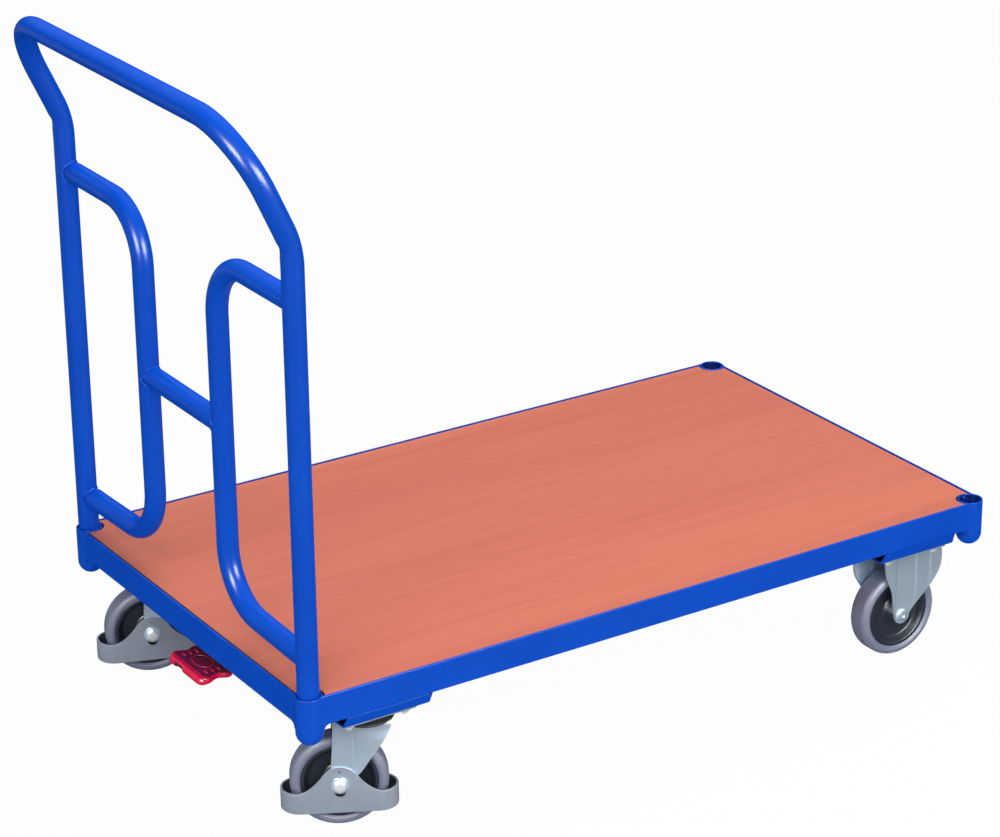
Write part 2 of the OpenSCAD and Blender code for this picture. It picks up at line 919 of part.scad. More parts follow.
// Pad with a thick front lip, tread bars and a plain oval
module pedal_pad() {
    color(pedal_red)
        translate([pad_front + pad_l / 2, 0, pad_h - pad_t]) {
            linear_extrude(height = pad_t)
                polygon(pad_outline(pad_l, pad_w, pad_corner_r));
            translate([lip_r - pad_l / 2, 0, pad_t - lip_r])
                rotate([90, 0, 0])
                    cylinder(r = lip_r, h = pad_w - 2 * pad_corner_r, center = true);
            translate([-oval_back, 0, pad_t - tread_h])
                linear_extrude(height = 2 * tread_h)
                    difference() {
                        polygon(ellipse(oval_rx, oval_ry));
                        polygon(ellipse(oval_rx - oval_t, oval_ry - oval_t));
                    }
            for (k = [-1, 1], i = [-1:1])
                translate([i * tread_step - tread_back, k * tread_y, pad_t])
                    cube([tread_w, tread_l, 2 * tread_h], center = true);
        }
}

// Push bow and its brackets: straight tubes joined by round bends.
// The bow's straight tubes run a little way into its bends, which are a hair thicker.
module bow_path(d, below) {
    bend_d = d + 2 * bend_swell;
    for (side = [-1, 1])
        on_side(side) {
            translate([bow_x, socket_y, bow_z - below])
                cylinder(d = d, h = bend_z - bow_z + below + bend_join);
            translate([bow_x - lean_bend_r, socket_y, bend_z])
                rotate([90, 0, 0])
                    rotate_extrude(angle = lean_angle)
                        translate([lean_bend_r, 0])
                            circle(d = bend_d);
            translate([lean_x, socket_y, lean_z])
                rotate([0, -lean_angle, 0])
                    translate([0, 0, -bend_join])
                        cylinder(d = d, h = lean_straight + 2 * bend_join);
            translate([corner_x, socket_y - grip_bend_r, corner_z])
                rotate([0, -lean_angle, 0])
                    rotate([90, 0, 90])
                        rotate_extrude(angle = 90)
                            translate([grip_bend_r, 0])
                                circle(d = bend_d);
        }
    translate([grip_x, 0, grip_z])
        rotate([90, 0, 0])
            cylinder(d = d, h = 2 * (socket_y - grip_bend_r + bend_join), center = true);
}

module push_bow() {
    color(frame_blue)
        difference() {
            bow_path(tube_d, 0);
            bow_path(tube_d - 2 * tube_wall, lap);
        }
}

module bracket_path(d) {
    run = socket_y - bracket_y - bracket_bend_r;
    bend_y = bracket_y + bracket_bend_r;
    top_z = bracket_top_z;
    low_z = deck_h + bracket_low;
    for (z = [low_z, top_z])
        translate([bow_x, bend_y, z])
            rotate([-90, 0, 0])
                cylinder(d = d, h = run);
    translate([bow_x, bracket_y, low_z + bracket_bend_r])
        cylinder(d = d, h = top_z - low_z - 2 * bracket_bend_r);
    for (bend = [[top_z - bracket_bend_r, 90], [low_z + bracket_bend_r, 180]])
        translate([bow_x, bend_y, bend[0]])
            rotate([90, 0, 90])
                rotate([0, 0, bend[1]])
                    rotate_extrude(angle = 90)
                        translate([bracket_bend_r, 0])
                            circle(d = d);
}

module side_bracket(side) {
    color(frame_blue)
        on_side(side)
            difference() {
                bracket_path(tube_d);
                bracket_path(tube_d - 2 * tube_wall);
                translate([bow_x, socket_y, deck_h])
                    cylinder(d = tube_d + 2 * weld_gap, h = bow_rise);
            }
}

module cross_tube() {
    color(frame_blue)
        translate([bow_x, 0, deck_h + cross_rise])
            difference() {
                rotate([90, 0, 0])
                    cylinder(d = tube_d, h = 2 * bracket_y, center = true);
                rotate([90, 0, 0])
                    cylinder(d = tube_d - 2 * tube_wall, h = 2 * bracket_y + 2 * lap, center = true);
                for (side = [-1, 1])
                    translate([0, side * bracket_y, 0])
                        cylinder(d = tube_d + 2 * weld_gap, h = 4 * tube_d, center = true);
            }
}

side_rail(1);  // side_rail_left
side_rail(-1);  // side_rail_right
end_rail(1);  // end_rail_front
end_rail(-1);  // end_rail_rear
socket(1, 1);  // socket_front_left
socket(1, -1);  // socket_front_right
socket(-1, 1);  // socket_rear_left
socket(-1, -1);  // socket_rear_right
deck_board();
cross_bars(1);  // cross_bars_front
cross_bars(-1);  // cross_bars_rear
pan(1, 1);  // pan_front_left
pan(1, -1);  // pan_front_right
pan(-1, 1);  // pan_rear_left
pan(-1, -1);  // pan_rear_right
castor_bolts();
castor_nuts();
fixed_fork(1);  // fixed_fork_left
fixed_fork(-1);  // fixed_fork_right
fixed_axles();
swivel_plate(1);  // swivel_plate_left
swivel_plate(-1);  // swivel_plate_right
kingpin(1);  // kingpin_left
kingpin(-1);  // kingpin_right
swivel_fork(1);  // swivel_fork_left
swivel_fork(-1);  // swivel_fork_right
swivel_balls(1);  // swivel_balls_left
swivel_balls(-1);  // swivel_balls_right
axle_bolt(1);  // axle_bolt_left
axle_bolt(-1);  // axle_bolt_right
axle_nut(1);  // axle_nut_left
axle_nut(-1);  // axle_nut_right
tyre(1, 1);  // tyre_front_left
rim(1, 1);  // rim_front_left
bush(1, 1);  // bush_front_left
tyre(1, -1);  // tyre_front_right
rim(1, -1);  // rim_front_right
bush(1, -1);  // bush_front_right
tyre(-1, 1);  // tyre_rear_left
rim(-1, 1);  // rim_rear_left
bush(-1, 1);  // bush_rear_left
tyre(-1, -1);  // tyre_rear_right
rim(-1, -1);  // rim_rear_right
bush(-1, -1);  // bush_rear_right
foot_guard(1);  // foot_guard_left
foot_guard(-1);  // foot_guard_right
brake_plunger(1);  // brake_plunger_left
brake_plunger(-1);  // brake_plunger_right
brake_shoe(1);  // brake_shoe_left
brake_shoe(-1);  // brake_shoe_right
brake_shaft();
brake_levers();
brake_brackets();
pedal_arm();
pedal_pad();
push_bow();
side_bracket(1);  // side_bracket_left
side_bracket(-1);  // side_bracket_right
cross_tube();
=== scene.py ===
import json

import bmesh
import bpy
import numpy as np
from mathutils import Matrix, Vector
from mathutils.geometry import tessellate_polygon


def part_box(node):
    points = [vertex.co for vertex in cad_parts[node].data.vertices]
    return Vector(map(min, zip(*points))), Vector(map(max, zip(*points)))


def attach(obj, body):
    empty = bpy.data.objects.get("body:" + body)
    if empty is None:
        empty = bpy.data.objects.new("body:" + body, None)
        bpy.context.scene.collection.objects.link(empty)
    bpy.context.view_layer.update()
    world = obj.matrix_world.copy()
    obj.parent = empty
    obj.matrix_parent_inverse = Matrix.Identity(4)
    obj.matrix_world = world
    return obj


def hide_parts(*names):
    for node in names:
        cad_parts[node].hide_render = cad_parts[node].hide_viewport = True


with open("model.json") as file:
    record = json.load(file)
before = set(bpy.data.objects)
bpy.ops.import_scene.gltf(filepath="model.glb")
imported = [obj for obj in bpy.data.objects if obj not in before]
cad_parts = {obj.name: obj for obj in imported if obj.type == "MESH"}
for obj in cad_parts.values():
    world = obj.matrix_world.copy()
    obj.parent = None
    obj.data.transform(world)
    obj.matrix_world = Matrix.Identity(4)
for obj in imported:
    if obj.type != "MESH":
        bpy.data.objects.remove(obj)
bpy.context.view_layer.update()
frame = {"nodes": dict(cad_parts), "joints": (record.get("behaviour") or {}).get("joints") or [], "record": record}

# Sizes are in millimetres, and mesh_of() turns them into metres.
MM = 0.001
UP = np.array([0.0, 0.0, 1.0])
SIDES = {"left": 1, "right": -1}
CORNERS = [(f"{end}_{side}", ahead, sign) for end, ahead in (("front", 1), ("rear", -1))
           for side, sign in SIDES.items()]
# Edges that turn by more degrees than this stay sharp.
CREASE = 32


def box(node):
    """Lowest and highest corner of a CAD node, in millimetres."""
    low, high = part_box(node)
    return np.array(low) / MM, np.array(high) / MM


def joint_at(name):
    """A joint's place in millimetres and its unit axis."""
    joint = next(j for j in frame["joints"] if j["name"] == name)
    return np.array(joint["pos_m"]) / MM, np.array(joint["axis"])


# Platform
rail_low, rail_high = box("side_rail_left")
rail_z, deck_z, half_width = rail_low[2], rail_high[2], rail_high[1]
board_low, board_high = box("deck_board")
socket_low, socket_high = box("socket_front_left")
socket_r = (socket_high - socket_low)[0] / 2
socket_x, socket_y = ((socket_high + socket_low) / 2)[:2]
socket_depth = 42

# Push bow
bow_low, bow_high = box("push_bow")
cross_low, cross_high = box("cross_tube")
tube_r = (cross_high - cross_low)[2] / 2
bow_x = -socket_x
grip_x = bow_low[0] + tube_r
grip_z = bow_high[2] - tube_r
lean_rise = 149
lean_bend = 117
grip_bend = 89
bracket_low, bracket_high = box("side_bracket_left")
bracket_y = bracket_low[1] + tube_r
bracket_z = bracket_low[2] + tube_r - 6.5, bracket_high[2] - tube_r - 4
leg_fall = 5.5
bracket_bend = 75
bracket_x = bow_x + 4
cross_z = (cross_low + cross_high)[2] / 2

# Castors
plate_low, plate_high = box("swivel_plate_left")
plate_t = 4
plate_z = plate_high[2] - plate_t
fixed_x, castor_y, axle_z = joint_at("front_wheel_left_spin")[0]
plate_ahead = 4
bolt_x, bolt_y = 40, 30
fork_t = 2.5
leg_mid = 20.75
boss_r = 13
pin_to_axle = joint_at("swivel_left_turn")[0] - joint_at("rear_wheel_left_spin")[0]
trail = np.linalg.norm(pin_to_axle[:2])
pan_z = plate_high[2]
dish_floor = 148.5


def unit(rows):
    """Each row divided by its length."""
    return rows / np.linalg.norm(rows, axis=-1, keepdims=True)


def full_turn(steps):
    """Angles of a full turn in even steps."""
    return np.linspace(0, 2 * np.pi, steps, endpoint=False)


# Shapes: each returns its points and its faces
def loft(rings, loop=False, caps=True):
    """A skin over a row of closed rings: each point joins its neighbours along and across the rings.
    The first and last ring are closed by flat caps, or joined to each other if it is a loop."""
    rows, cols = rings.shape[:2]
    r, c = np.meshgrid(np.arange(rows if loop else rows - 1), np.arange(cols), indexing="ij")
    r1, c1 = (r + 1) % rows, (c + 1) % cols
    corners = r * cols + c, r * cols + c1, r1 * cols + c1, r1 * cols + c
    faces = np.stack(corners, -1).reshape(-1, 4).tolist()
    if caps and not loop:
        faces += [list(range(cols)), list(range((rows - 1) * cols, rows * cols))]
    return rings.reshape(-1, 3), faces


def merge(*shells):
    """Several shells as one: the faces of each count on from the points before it."""
    starts = np.cumsum([0] + [len(points) for points, _ in shells])
    faces = [[i + start for i in face]
             for start, (_, shell) in zip(starts, shells) for face in shell]
    return np.concatenate([points for points, _ in shells]), faces


def put(shell, origin, x_axis=(1, 0, 0), y_axis=(0, 1, 0), z_axis=(0, 0, 1)):
    """A shell moved to a new frame: origin plus each coordinate along its own axis."""
    points, faces = shell
    return np.asarray(origin, float) + points @ np.array([x_axis, y_axis, z_axis], float), faces


def bent_line(corners, radii, steps):
    """Points and directions of a line whose corners are rounded: the line meets a bend R tan(turn / 2)
    before its corner, and the bend is start + R (sin a along + (1 - cos a) inward)."""
    corners = np.asarray(corners, float)
    ways = unit(np.diff(corners, axis=0))
    points, along = [corners[:1]], [ways[:1]]
    for corner, r, before, after in zip(corners[1:-1], radii, ways[:-1], ways[1:]):
        turn = np.arccos(np.clip(before @ after, -1, 1))
        inward = (after - (before @ after) * before) / np.sin(turn)
        a = np.linspace(0, turn, steps)[:, None]
        start = corner - r * np.tan(turn / 2) * before
        points.append(start + r * (np.sin(a) * before + (1 - np.cos(a)) * inward))
        along.append(np.cos(a) * before + np.sin(a) * inward)
    return np.concatenate(points + [corners[-1:]]), np.concatenate(along + [ways[-1:]])


def tube(path, along, across, radius, steps=48, loop=False):
    """A round bar: about each point of the path a ring r (cos a u + sin a v), with u square to the path
    and to the given direction across, and v square to both the path and u."""
    u = unit(np.cross(along, across))
    v = np.cross(along, u)
    a = full_turn(steps)[None, :, None]
    r = np.broadcast_to(np.asarray(radius, float), len(path))[:, None, None]
    return loft(path[:, None] + r * (np.cos(a) * u[:, None] + np.sin(a) * v[:, None]), loop)


def turned(profile, steps, loop=False):
    """A turned piece about Z: each profile point (r, h) becomes a ring (r cos a, r sin a, h)."""
    profile = np.asarray(profile, float)
    a = full_turn(steps)
    r, h = profile[:, :1], profile[:, 1:]
    return loft(np.stack([r * np.cos(a), r * np.sin(a), h + 0 * a], -1), loop)


def inset(outline, distance):
    """The outline moved towards its left hand: each point goes along the sum of the inward normals of
    its two edges, over one plus their dot product, so that straight edges stay parallel."""
    before = outline - np.roll(outline, 1, 0)
    after = np.roll(before, -1, 0)
    n0, n1 = (unit(np.stack([-e[:, 1], e[:, 0]], -1)) for e in (before, after))
    return outline + distance * (n0 + n1) / (1 + (n0 * n1).sum(1))[:, None]


def plate(outline, low, high, edge, holes=(), steps=4):
    """A plate with rounded edges: round each outline a wall whose inset is edge (1 - sin a) and whose
    height is edge (1 - cos a) from either face; the faces are filled between outline and holes."""
    a = np.linspace(0, np.pi / 2, steps)
    insets = edge * np.concatenate([1 - np.sin(a), 1 - np.sin(a[::-1])])
    heights = np.concatenate([low + edge * (1 - np.cos(a)), high - edge * (1 - np.cos(a[::-1]))])
    loops = [np.asarray(outline, float)] + [np.asarray(hole, float) for hole in holes]
    walls = [loft(np.stack([np.column_stack([inset(line, d), np.full(len(line), h)])
                            for d, h in zip(insets, heights)]), caps=False) for line in loops]
    points, faces = merge(*walls)
    starts = np.cumsum([0] + [len(wall[0]) for wall in walls])[:-1]
    for row in (0, len(heights) - 1):
        ids = np.concatenate([start + row * len(line) + np.arange(len(line))
                              for start, line in zip(starts, loops)])
        rims = [[Vector((x, y, 0)) for x, y in inset(line, edge)] for line in loops]
        faces += [[int(ids[i]) for i in triangle] for triangle in tessellate_polygon(rims)]
    return points, faces


def circle(x, y, r, steps, hole=False):
    """Points of a circle, clockwise for a hole."""
    a = full_turn(steps) * (-1 if hole else 1)
    return np.column_stack([x + r * np.cos(a), y + r * np.sin(a)])


def arc(x, y, r, start, end, steps):
    """Points of an arc from one angle to another, in degrees."""
    a = np.radians(np.linspace(start, end, steps))
    return np.column_stack([x + r * np.cos(a), y + r * np.sin(a)])


def round_rectangle(length, width, r, steps=8):
    """A rectangle about the origin whose corners are quarter circles."""
    x, y = length / 2 - r, width / 2 - r
    corners = (x, y, 0), (-x, y, 90), (-x, -y, 180), (x, -y, 270)
    return np.concatenate([arc(i, j, r, start, start + 90, steps) for i, j, start in corners])


def smooth_line(points, steps=12):
    """A smooth line through the points: on each stretch a cubic whose slopes at the ends are half the
    way between the neighbouring points."""
    p = np.asarray(points, float)
    slope = np.gradient(p, axis=0)
    t = np.linspace(0, 1, steps, endpoint=False)[None, :, None]
    p0, p1, m0, m1 = p[:-1, None], p[1:, None], slope[:-1, None], slope[1:, None]
    line = ((2 * t**3 - 3 * t**2 + 1) * p0 + (t**3 - 2 * t**2 + t) * m0
            + (3 * t**2 - 2 * t**3) * p1 + (t**3 - t**2) * m1)
    return np.concatenate([line.reshape(-1, p.shape[1]), p[-1:]])


def hexagon_head(across, height, steps=48):
    """A hexagon with chamfered corners along Z: the radius is half the flats over the cosine of the
    angle from the nearest flat, and the upper rim drops 30 degrees beyond the chamfer circle."""
    flat = across / 2
    a = full_turn(steps)
    r = flat / np.cos((a + np.pi / 6) % (np.pi / 3) - np.pi / 6)
    chamfer_r = 0.97 * flat
    drop = (r - chamfer_r) * np.tan(np.radians(30))
    rings = [(r, 0 * a), (r, height - drop), (chamfer_r + 0 * a, height + 0 * a)]
    return loft(np.stack([np.stack([q * np.cos(a), q * np.sin(a), h], -1) for q, h in rings]))


def step(x, at, run):
    """Zero before the place, one after it, along a smooth S over the run."""
    t = np.clip((x - at) / run + 0.5, 0, 1)
    return t * t * (3 - 2 * t)


def in_scene(name, data):
    """A new object in the scene."""
    made = bpy.data.objects.new(name, data)
    bpy.context.scene.collection.objects.link(made)
    return made


def mesh_of(name, shell):
    """A mesh in metres of a shell in millimetres, with all faces turned outwards."""
    points, faces = shell
    mesh = bpy.data.meshes.new(name)
    mesh.from_pydata((np.asarray(points) * MM).tolist(), [], faces)
    skin = bmesh.new()
    skin.from_mesh(mesh)
    bmesh.ops.recalc_face_normals(skin, faces=skin.faces)
    skin.to_mesh(mesh)
    skin.free()
    return mesh


def piece(name, shell, body, slot, stands_for=(), finish=None, crease=CREASE):
    """A mesh object at the origin, smooth up to the crease angle, in its slot's finish or another."""
    mesh = mesh_of(name, shell)
    mesh.shade_smooth()
    mesh.set_sharp_from_angle(angle=np.radians(crease))
    mesh.materials.append(FINISHES[finish or slot])
    made = in_scene(name, mesh)
    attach(made, body)
    if stands_for:
        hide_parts(*stands_for)
    return made


def second_finish(made, finish, chosen):
    """Gives a second finish to the faces that a rule picks by their normals and their middles."""
    polygons = made.data.polygons
    normals, middles = np.zeros(3 * len(polygons)), np.zeros(3 * len(polygons))
    polygons.foreach_get("normal", normals)
    polygons.foreach_get("center", middles)
    made.data.materials.append(FINISHES[finish])
    picked = chosen(normals.reshape(-1, 3), middles.reshape(-1, 3) / MM)
    polygons.foreach_set("material_index", picked.astype(np.int32))


def bevelled(made, width):
    """Rounds a piece's sharp edges with a Bevel modifier."""
    bevel = made.modifiers.new("edge", "BEVEL")
    bevel.width = width * MM
    bevel.segments = 2
    bevel.limit_method = "ANGLE"
    bevel.angle_limit = np.radians(50)
    bevel.harden_normals = True


# Materials
def linear(red, green, blue):
    """An sRGB colour of 0 to 255 as linear light."""
    x = np.array([red, green, blue]) / 255
    return (*np.where(x <= 0.04045, x / 12.92, ((x + 0.055) / 1.055) ** 2.4), 1)


class Shading:
    """The node tree of a material or of the world."""

    def __init__(self, owner):
        owner.use_nodes = True
        self.nodes, self.links = owner.node_tree.nodes, owner.node_tree.links

    def feed(self, node, inputs):
        """Gives each of a node's inputs a constant, or a link from a socket."""
        for key, value in inputs.items():
            if isinstance(value, bpy.types.NodeSocket):
                self.links.new(value, node.inputs[key])
            else:
                node.inputs[key].default_value = value

    def node(self, kind, inputs=(), **settings):
        """The outputs of a new node with these settings and inputs."""
        made = self.nodes.new("ShaderNode" + kind)
        for name, value in settings.items():
            setattr(made, name, value)
        self.feed(made, dict(inputs))
        return made.outputs


class Finish(Shading):
    """A procedural material: a Principled shader and the texture nodes that feed it."""

    def __init__(self, name, roughness, metallic=0.0):
        self.material = bpy.data.materials.new(name)
        super().__init__(self.material)
        self.shader = self.nodes["Principled BSDF"]
        self.look({"Roughness": roughness, "Metallic": metallic})
        self.place = self.node("TexCoord")["Object"]

    def look(self, inputs):
        """Feeds the shader itself."""
        self.feed(self.shader, inputs)

    def stretched(self, x, y, z):
        """Object coordinates scaled along each axis."""
        return self.node("Mapping", {"Vector": self.place, "Scale": (x, y, z)})["Vector"]

    def noise(self, scale, detail, place=None, distortion=0.0):
        """A noise texture's height, from 0 to 1."""
        return self.node("TexNoise", {"Vector": place or self.place, "Scale": scale,
                                      "Detail": detail, "Distortion": distortion})["Fac"]

    def ramp(self, value, *stops):
        """A colour that goes from one stop to the other, each given by its place and colour."""
        ramp = self.nodes.new("ShaderNodeValToRGB")
        for element, (place, colour) in zip(ramp.color_ramp.elements, stops):
            element.position = place
            element.color = linear(*colour)
        self.links.new(value, ramp.inputs["Fac"])
        return ramp.outputs["Color"]

    def multiplied(self, share, one, two):
        """One colour multiplied by the other, by a share."""
        return self.node("Mix", {0: share, 6: one, 7: two}, data_type="RGBA",
                         blend_type="MULTIPLY")[2]

    def colour(self, socket):
        """Feeds the base colour."""
        self.look({"Base Color": socket})

    def rough(self, value, low, high):
        """Roughness between two values as the given height goes from 0 to 1."""
        spread = self.node("MapRange", {"Value": value, "To Min": low, "To Max": high})
        self.look({"Roughness": spread["Result"]})

    def relief(self, height, strength, depth):
        """A bump of the given depth in millimetres."""
        bump = self.node("Bump", {"Height": height, "Strength": strength, "Distance": depth * MM})
        self.look({"Normal": bump["Normal"]})


def blue_paint(name, dark, light):
    """Glossy powder coat: a barely uneven blue under a clear gloss."""
    paint = Finish(name, 0.34)
    paint.colour(paint.ramp(paint.noise(9, 2), (0.35, dark), (0.7, light)))
    paint.rough(paint.noise(40, 2), 0.30, 0.40)
    paint.look({"Specular IOR Level": 0.008, "Coat Weight": 0.16, "Coat Roughness": 0.27})
    return paint.material


def beech_board():
    """Beech-look board: long streaks along the deck over broad bands, and short dark pores."""
    wood = Finish("beech_board", 0.42)
    streaks = wood.noise(1, 5, wood.stretched(3.0, 60, 60), 0.6)
    bands = wood.noise(1, 2, wood.stretched(0.5, 5, 5), 0.3)
    pores = wood.noise(1, 2, wood.stretched(40, 650, 650))
    ground = wood.ramp(bands, (0.3, (203, 112, 91)), (0.7, (211, 120, 96)))
    grain = wood.ramp(streaks, (0.32, (247, 241, 238)), (0.62, (255, 255, 255)))
    specks = wood.ramp(pores, (0.30, (243, 234, 230)), (0.42, (255, 255, 255)))
    wood.colour(wood.multiplied(0.7, wood.multiplied(1.0, ground, grain), specks))
    wood.rough(streaks, 0.36, 0.50)
    wood.look({"Specular IOR Level": 0.12})
    wood.relief(pores, 0.08, 0.1)
    return wood.material


def zinc_plating(name, dark, light, metallic):
    """Bright zinc on steel: a cool grey, clouded, with fine drawing lines."""
    zinc = Finish(name, 0.3, metallic)
    zinc.colour(zinc.ramp(zinc.noise(30, 2), (0.3, dark), (0.75, light)))
    zinc.rough(zinc.noise(160, 2), 0.26, 0.36)
    zinc.relief(zinc.noise(1, 1, zinc.stretched(260, 260, 1500)), 0.03, 0.04)
    return zinc.material


def bearing_steel():
    """Dull oiled steel for the balls and the parts behind the plates."""
    steel = Finish("bearing_steel", 0.3, 1.0)
    steel.colour(steel.ramp(steel.noise(90, 2), (0.3, (120, 122, 126)), (0.7, (150, 152, 156))))
    steel.relief(steel.noise(700, 1), 0.04, 0.05)
    return steel.material


def moulded(name, dark, light, roughness, grain_scale, grain_depth):
    """Moulded plastic or rubber: two close shades in clouds, and a fine moulded grain."""
    plastic = Finish(name, roughness)
    plastic.colour(plastic.ramp(plastic.noise(22, 3), (0.35, dark), (0.7, light)))
    plastic.rough(plastic.noise(120, 2), roughness - 0.05, roughness + 0.06)
    plastic.relief(plastic.noise(grain_scale, 2), 0.15, grain_depth)
    plastic.look({"Specular IOR Level": 0.25})
    return plastic.material


# Two shades, roughness, and the grain's scale and depth
MOULDED = {
    "tyre_rubber": ((120, 126, 150), (128, 134, 158), 0.55, 900, 0.06),
    "rim_plastic": ((36, 44, 60), (44, 52, 68), 0.38, 700, 0.04),
    "guard_plastic": ((140, 151, 166), (148, 159, 173), 0.48, 800, 0.05),
    # Dark grey for the foot guards' inner faces: painted shade
    "guard_painted_shade": ((44, 50, 60), (52, 58, 68), 0.6, 800, 0.05),
    # Near black for the kingpin dish and its top faces: painted shade under the plate
    "dish_painted_shade": ((26, 28, 32), (32, 34, 38), 0.7, 500, 0.1),
    "pedal_plastic": ((232, 6, 70), (244, 10, 80), 0.32, 700, 0.04),
    # Darker red for the pedal's top face, and for painted shade in the lip's recess
    "pedal_face_and_recess_shade": ((112, 4, 58), (134, 8, 66), 0.45, 420, 0.2),
    "bush_plastic": ((196, 196, 190), (208, 208, 202), 0.45, 700, 0.04),
    "board_edge": ((34, 28, 26), (46, 38, 34), 0.6, 500, 0.1),
    "shoe_rubber": ((28, 28, 30), (38, 38, 40), 0.7, 500, 0.15),
}
# Materials by their slot, or by their own name where a slot has a second one
FINISHES = {
    "frame_paint": blue_paint("blue_paint", (0, 76, 199), (1, 82, 207)),
    # Darker blue inside the sockets' bores: painted shade
    "bore_painted_shade": blue_paint("bore_painted_shade", (2, 34, 112), (3, 40, 124)),
    # Near-black blue inside the pans: painted shade
    "pan_painted_shade": blue_paint("pan_painted_shade", (1, 8, 30), (2, 10, 36)),
    "deck_wood": beech_board(),
    "zinc_steel": zinc_plating("zinc_plating", (178, 197, 213), (188, 206, 220), 0.5),
    # A lighter copy of the zinc for bolts and nuts: painted highlight
    "bolt_zinc_painted_highlight": zinc_plating("bolt_zinc_painted_highlight", (228, 233, 237), (238, 242, 245), 0.35),
    "bearing_steel": bearing_steel(),
    **{name: moulded(name, *how) for name, how in MOULDED.items()},
}


# Frame
def socket_profile():
    """Half section of a socket: bore with a rounded mouth, straight outside, and a round bottom."""
    bore_r, seat_z = tube_r + 1.1, deck_z - socket_depth
    dome_z = socket_low[2] + socket_r
    middle_r, seat_bend, mouth, dome_end = 0.4, 0.6, 1.15, -88.7
    wall = bent_line([(middle_r, seat_z), (bore_r, seat_z), (bore_r, deck_z), (socket_r, deck_z),
                      (socket_r, dome_z)], [seat_bend, mouth, mouth], 5)[0]
    return np.concatenate([wall, arc(0, dome_z, socket_r, 0, dome_end, 20)])


def corner_sockets():
    """Four turned tubes with round bottoms; the bore has a darker blue as painted shade."""
    rim = 1.5
    for corner, ahead, sign in CORNERS:
        name, at = f"socket_{corner}", np.array((ahead * socket_x, sign * socket_y, 0))
        shell = put(turned(socket_profile(), 72), at)
        made = piece(name + "_skin", shell, "frame", "frame_paint", [name])

        def in_bore(normals, middles):
            inwards = ((middles - at)[:, :2] * normals[:, :2]).sum(1) < -1
            return (middles[:, 2] < deck_z - rim) & inwards

        # The bore's faces take the darker blue: painted shade in the hollow socket
        second_finish(made, "bore_painted_shade", in_bore)


def corner_fillets():
    """Between each rail's face and its socket a hollow fillet, an arc that touches both: its centre is
    its own radius off the face, and that plus the socket's radius from the socket's middle. Under the
    rail a web curves down to the socket by a quarter circle."""
    face, r, sunk, below_top = half_width - socket_y, 50, 0.6, 0.8
    reach = np.sqrt((socket_r + r) ** 2 - (face + r) ** 2)
    touch = np.degrees(np.arctan2(-face - r, -reach))
    root = [(8, face - 2), (reach, face - sunk)]
    hollow = np.concatenate([arc(reach, face + r, r, -90, touch, 10), root])
    fillet = loft(np.stack([np.column_stack([hollow, 0 * hollow[:, 0] + z])
                            for z in (rail_z + sunk, deck_z - below_top)]))
    web_r, web_t, lap, gap = 8, 3, 2, 0.4
    edge = np.sqrt(socket_r**2 - (face - web_t) ** 2) - gap
    web = np.concatenate([[(edge - lap, rail_z + lap), (edge - lap, rail_z - web_r)],
                          arc(edge + web_r, rail_z - web_r, web_r, 180, 90, 10),
                          [(edge + web_r, rail_z + lap)]])
    under = loft(np.stack([np.column_stack([web[:, 0], 0 * web[:, 0] + depth, web[:, 1]])
                           for depth in (face - web_t, face - gap)]))
    both = merge(fillet, under)
    for corner, ahead, sign in CORNERS:
        at = ahead * socket_x, sign * socket_y, 0
        shells = (put(both, at, (-ahead, 0, 0), (0, sign, 0)),
                  put(both, at, (0, -sign, 0), (ahead, 0, 0)))
        piece(f"socket_{corner}_fillets", merge(*shells), "frame", "frame_paint", crease=60)


def socket_screws():
    """A small screw with a hollow head in the wall of each open socket."""
    head = [(0.2, 0.6), (1.5, 0.6), (1.6, 2.4), (2.6, 2.4), (2.9, 2.1), (2.9, -1), (0.2, -1)]
    off_middle, in_wall, below_top = 2, 15.1, 5.5
    for side, sign in SIDES.items():
        at = socket_x + off_middle, sign * (socket_y - in_wall), deck_z - below_top
        screw = along_axis(turned(head, 24), at, (0, sign, 0))
        piece(f"socket_front_{side}_screw", screw, "frame", "frame_paint")


def deck():
    """The board: a rectangle whose corners are cut back by circles about the sockets, with dark edges.
    It is pushed forwards, so that the gap to the rail is wider at the rear."""
    notch_r, push, edge = socket_r + 1.5, 1.2, 0.8
    start = np.degrees(np.arcsin((board_high[0] - socket_x) / notch_r))
    corner = arc(socket_x, socket_y, notch_r, start - 90, -180 - start, 24)
    rear = corner * (-1, 1) + (push, 0)
    outline = np.concatenate([corner, np.flip(rear, 0), rear * (1, -1),
                              np.flip(corner * (1, -1), 0)])
    board = plate(outline, board_low[2], board_high[2], edge)
    made = piece("deck_board_skin", board, "frame", "deck_wood", ["deck_board"])
    second_finish(made, "board_edge", lambda normals, middles: np.abs(normals[:, 2]) < 0.6)


corner_sockets()
corner_fillets()
deck()


# Pans under the frame
def strip(path, along, across, low, high, thickness, columns=2, relief=None):
    """A bent sheet: at each place along the path a row of points from low to high in the direction
    across, moved half the thickness to either side, with a relief on both faces."""
    normal = unit(np.cross(across, along))
    share = np.linspace(0, 1, columns)[None, :]
    reach = np.asarray(low)[:, None] * (1 - share) + np.asarray(high)[:, None] * share
    middle = path[:, None] + reach[..., None] * np.asarray(across, float)
    lift = 0 if relief is None else relief(middle, reach)[..., None]
    faces = [middle + (lift + half) * normal[:, None] for half in (thickness / 2, -thickness / 2)]
    return loft(np.concatenate([faces[0], faces[1][:, ::-1]], 1))


def faces_in(normals, middles, straight):
    """True where a face looks in: its normal points back to a line of the given half length."""
    half = np.array((straight, 0))
    out = middles[:, :2] - np.clip(middles[:, :2], -half, half)
    return (normals[:, :2] * out).sum(1) < -0.6 * np.linalg.norm(out, axis=1)


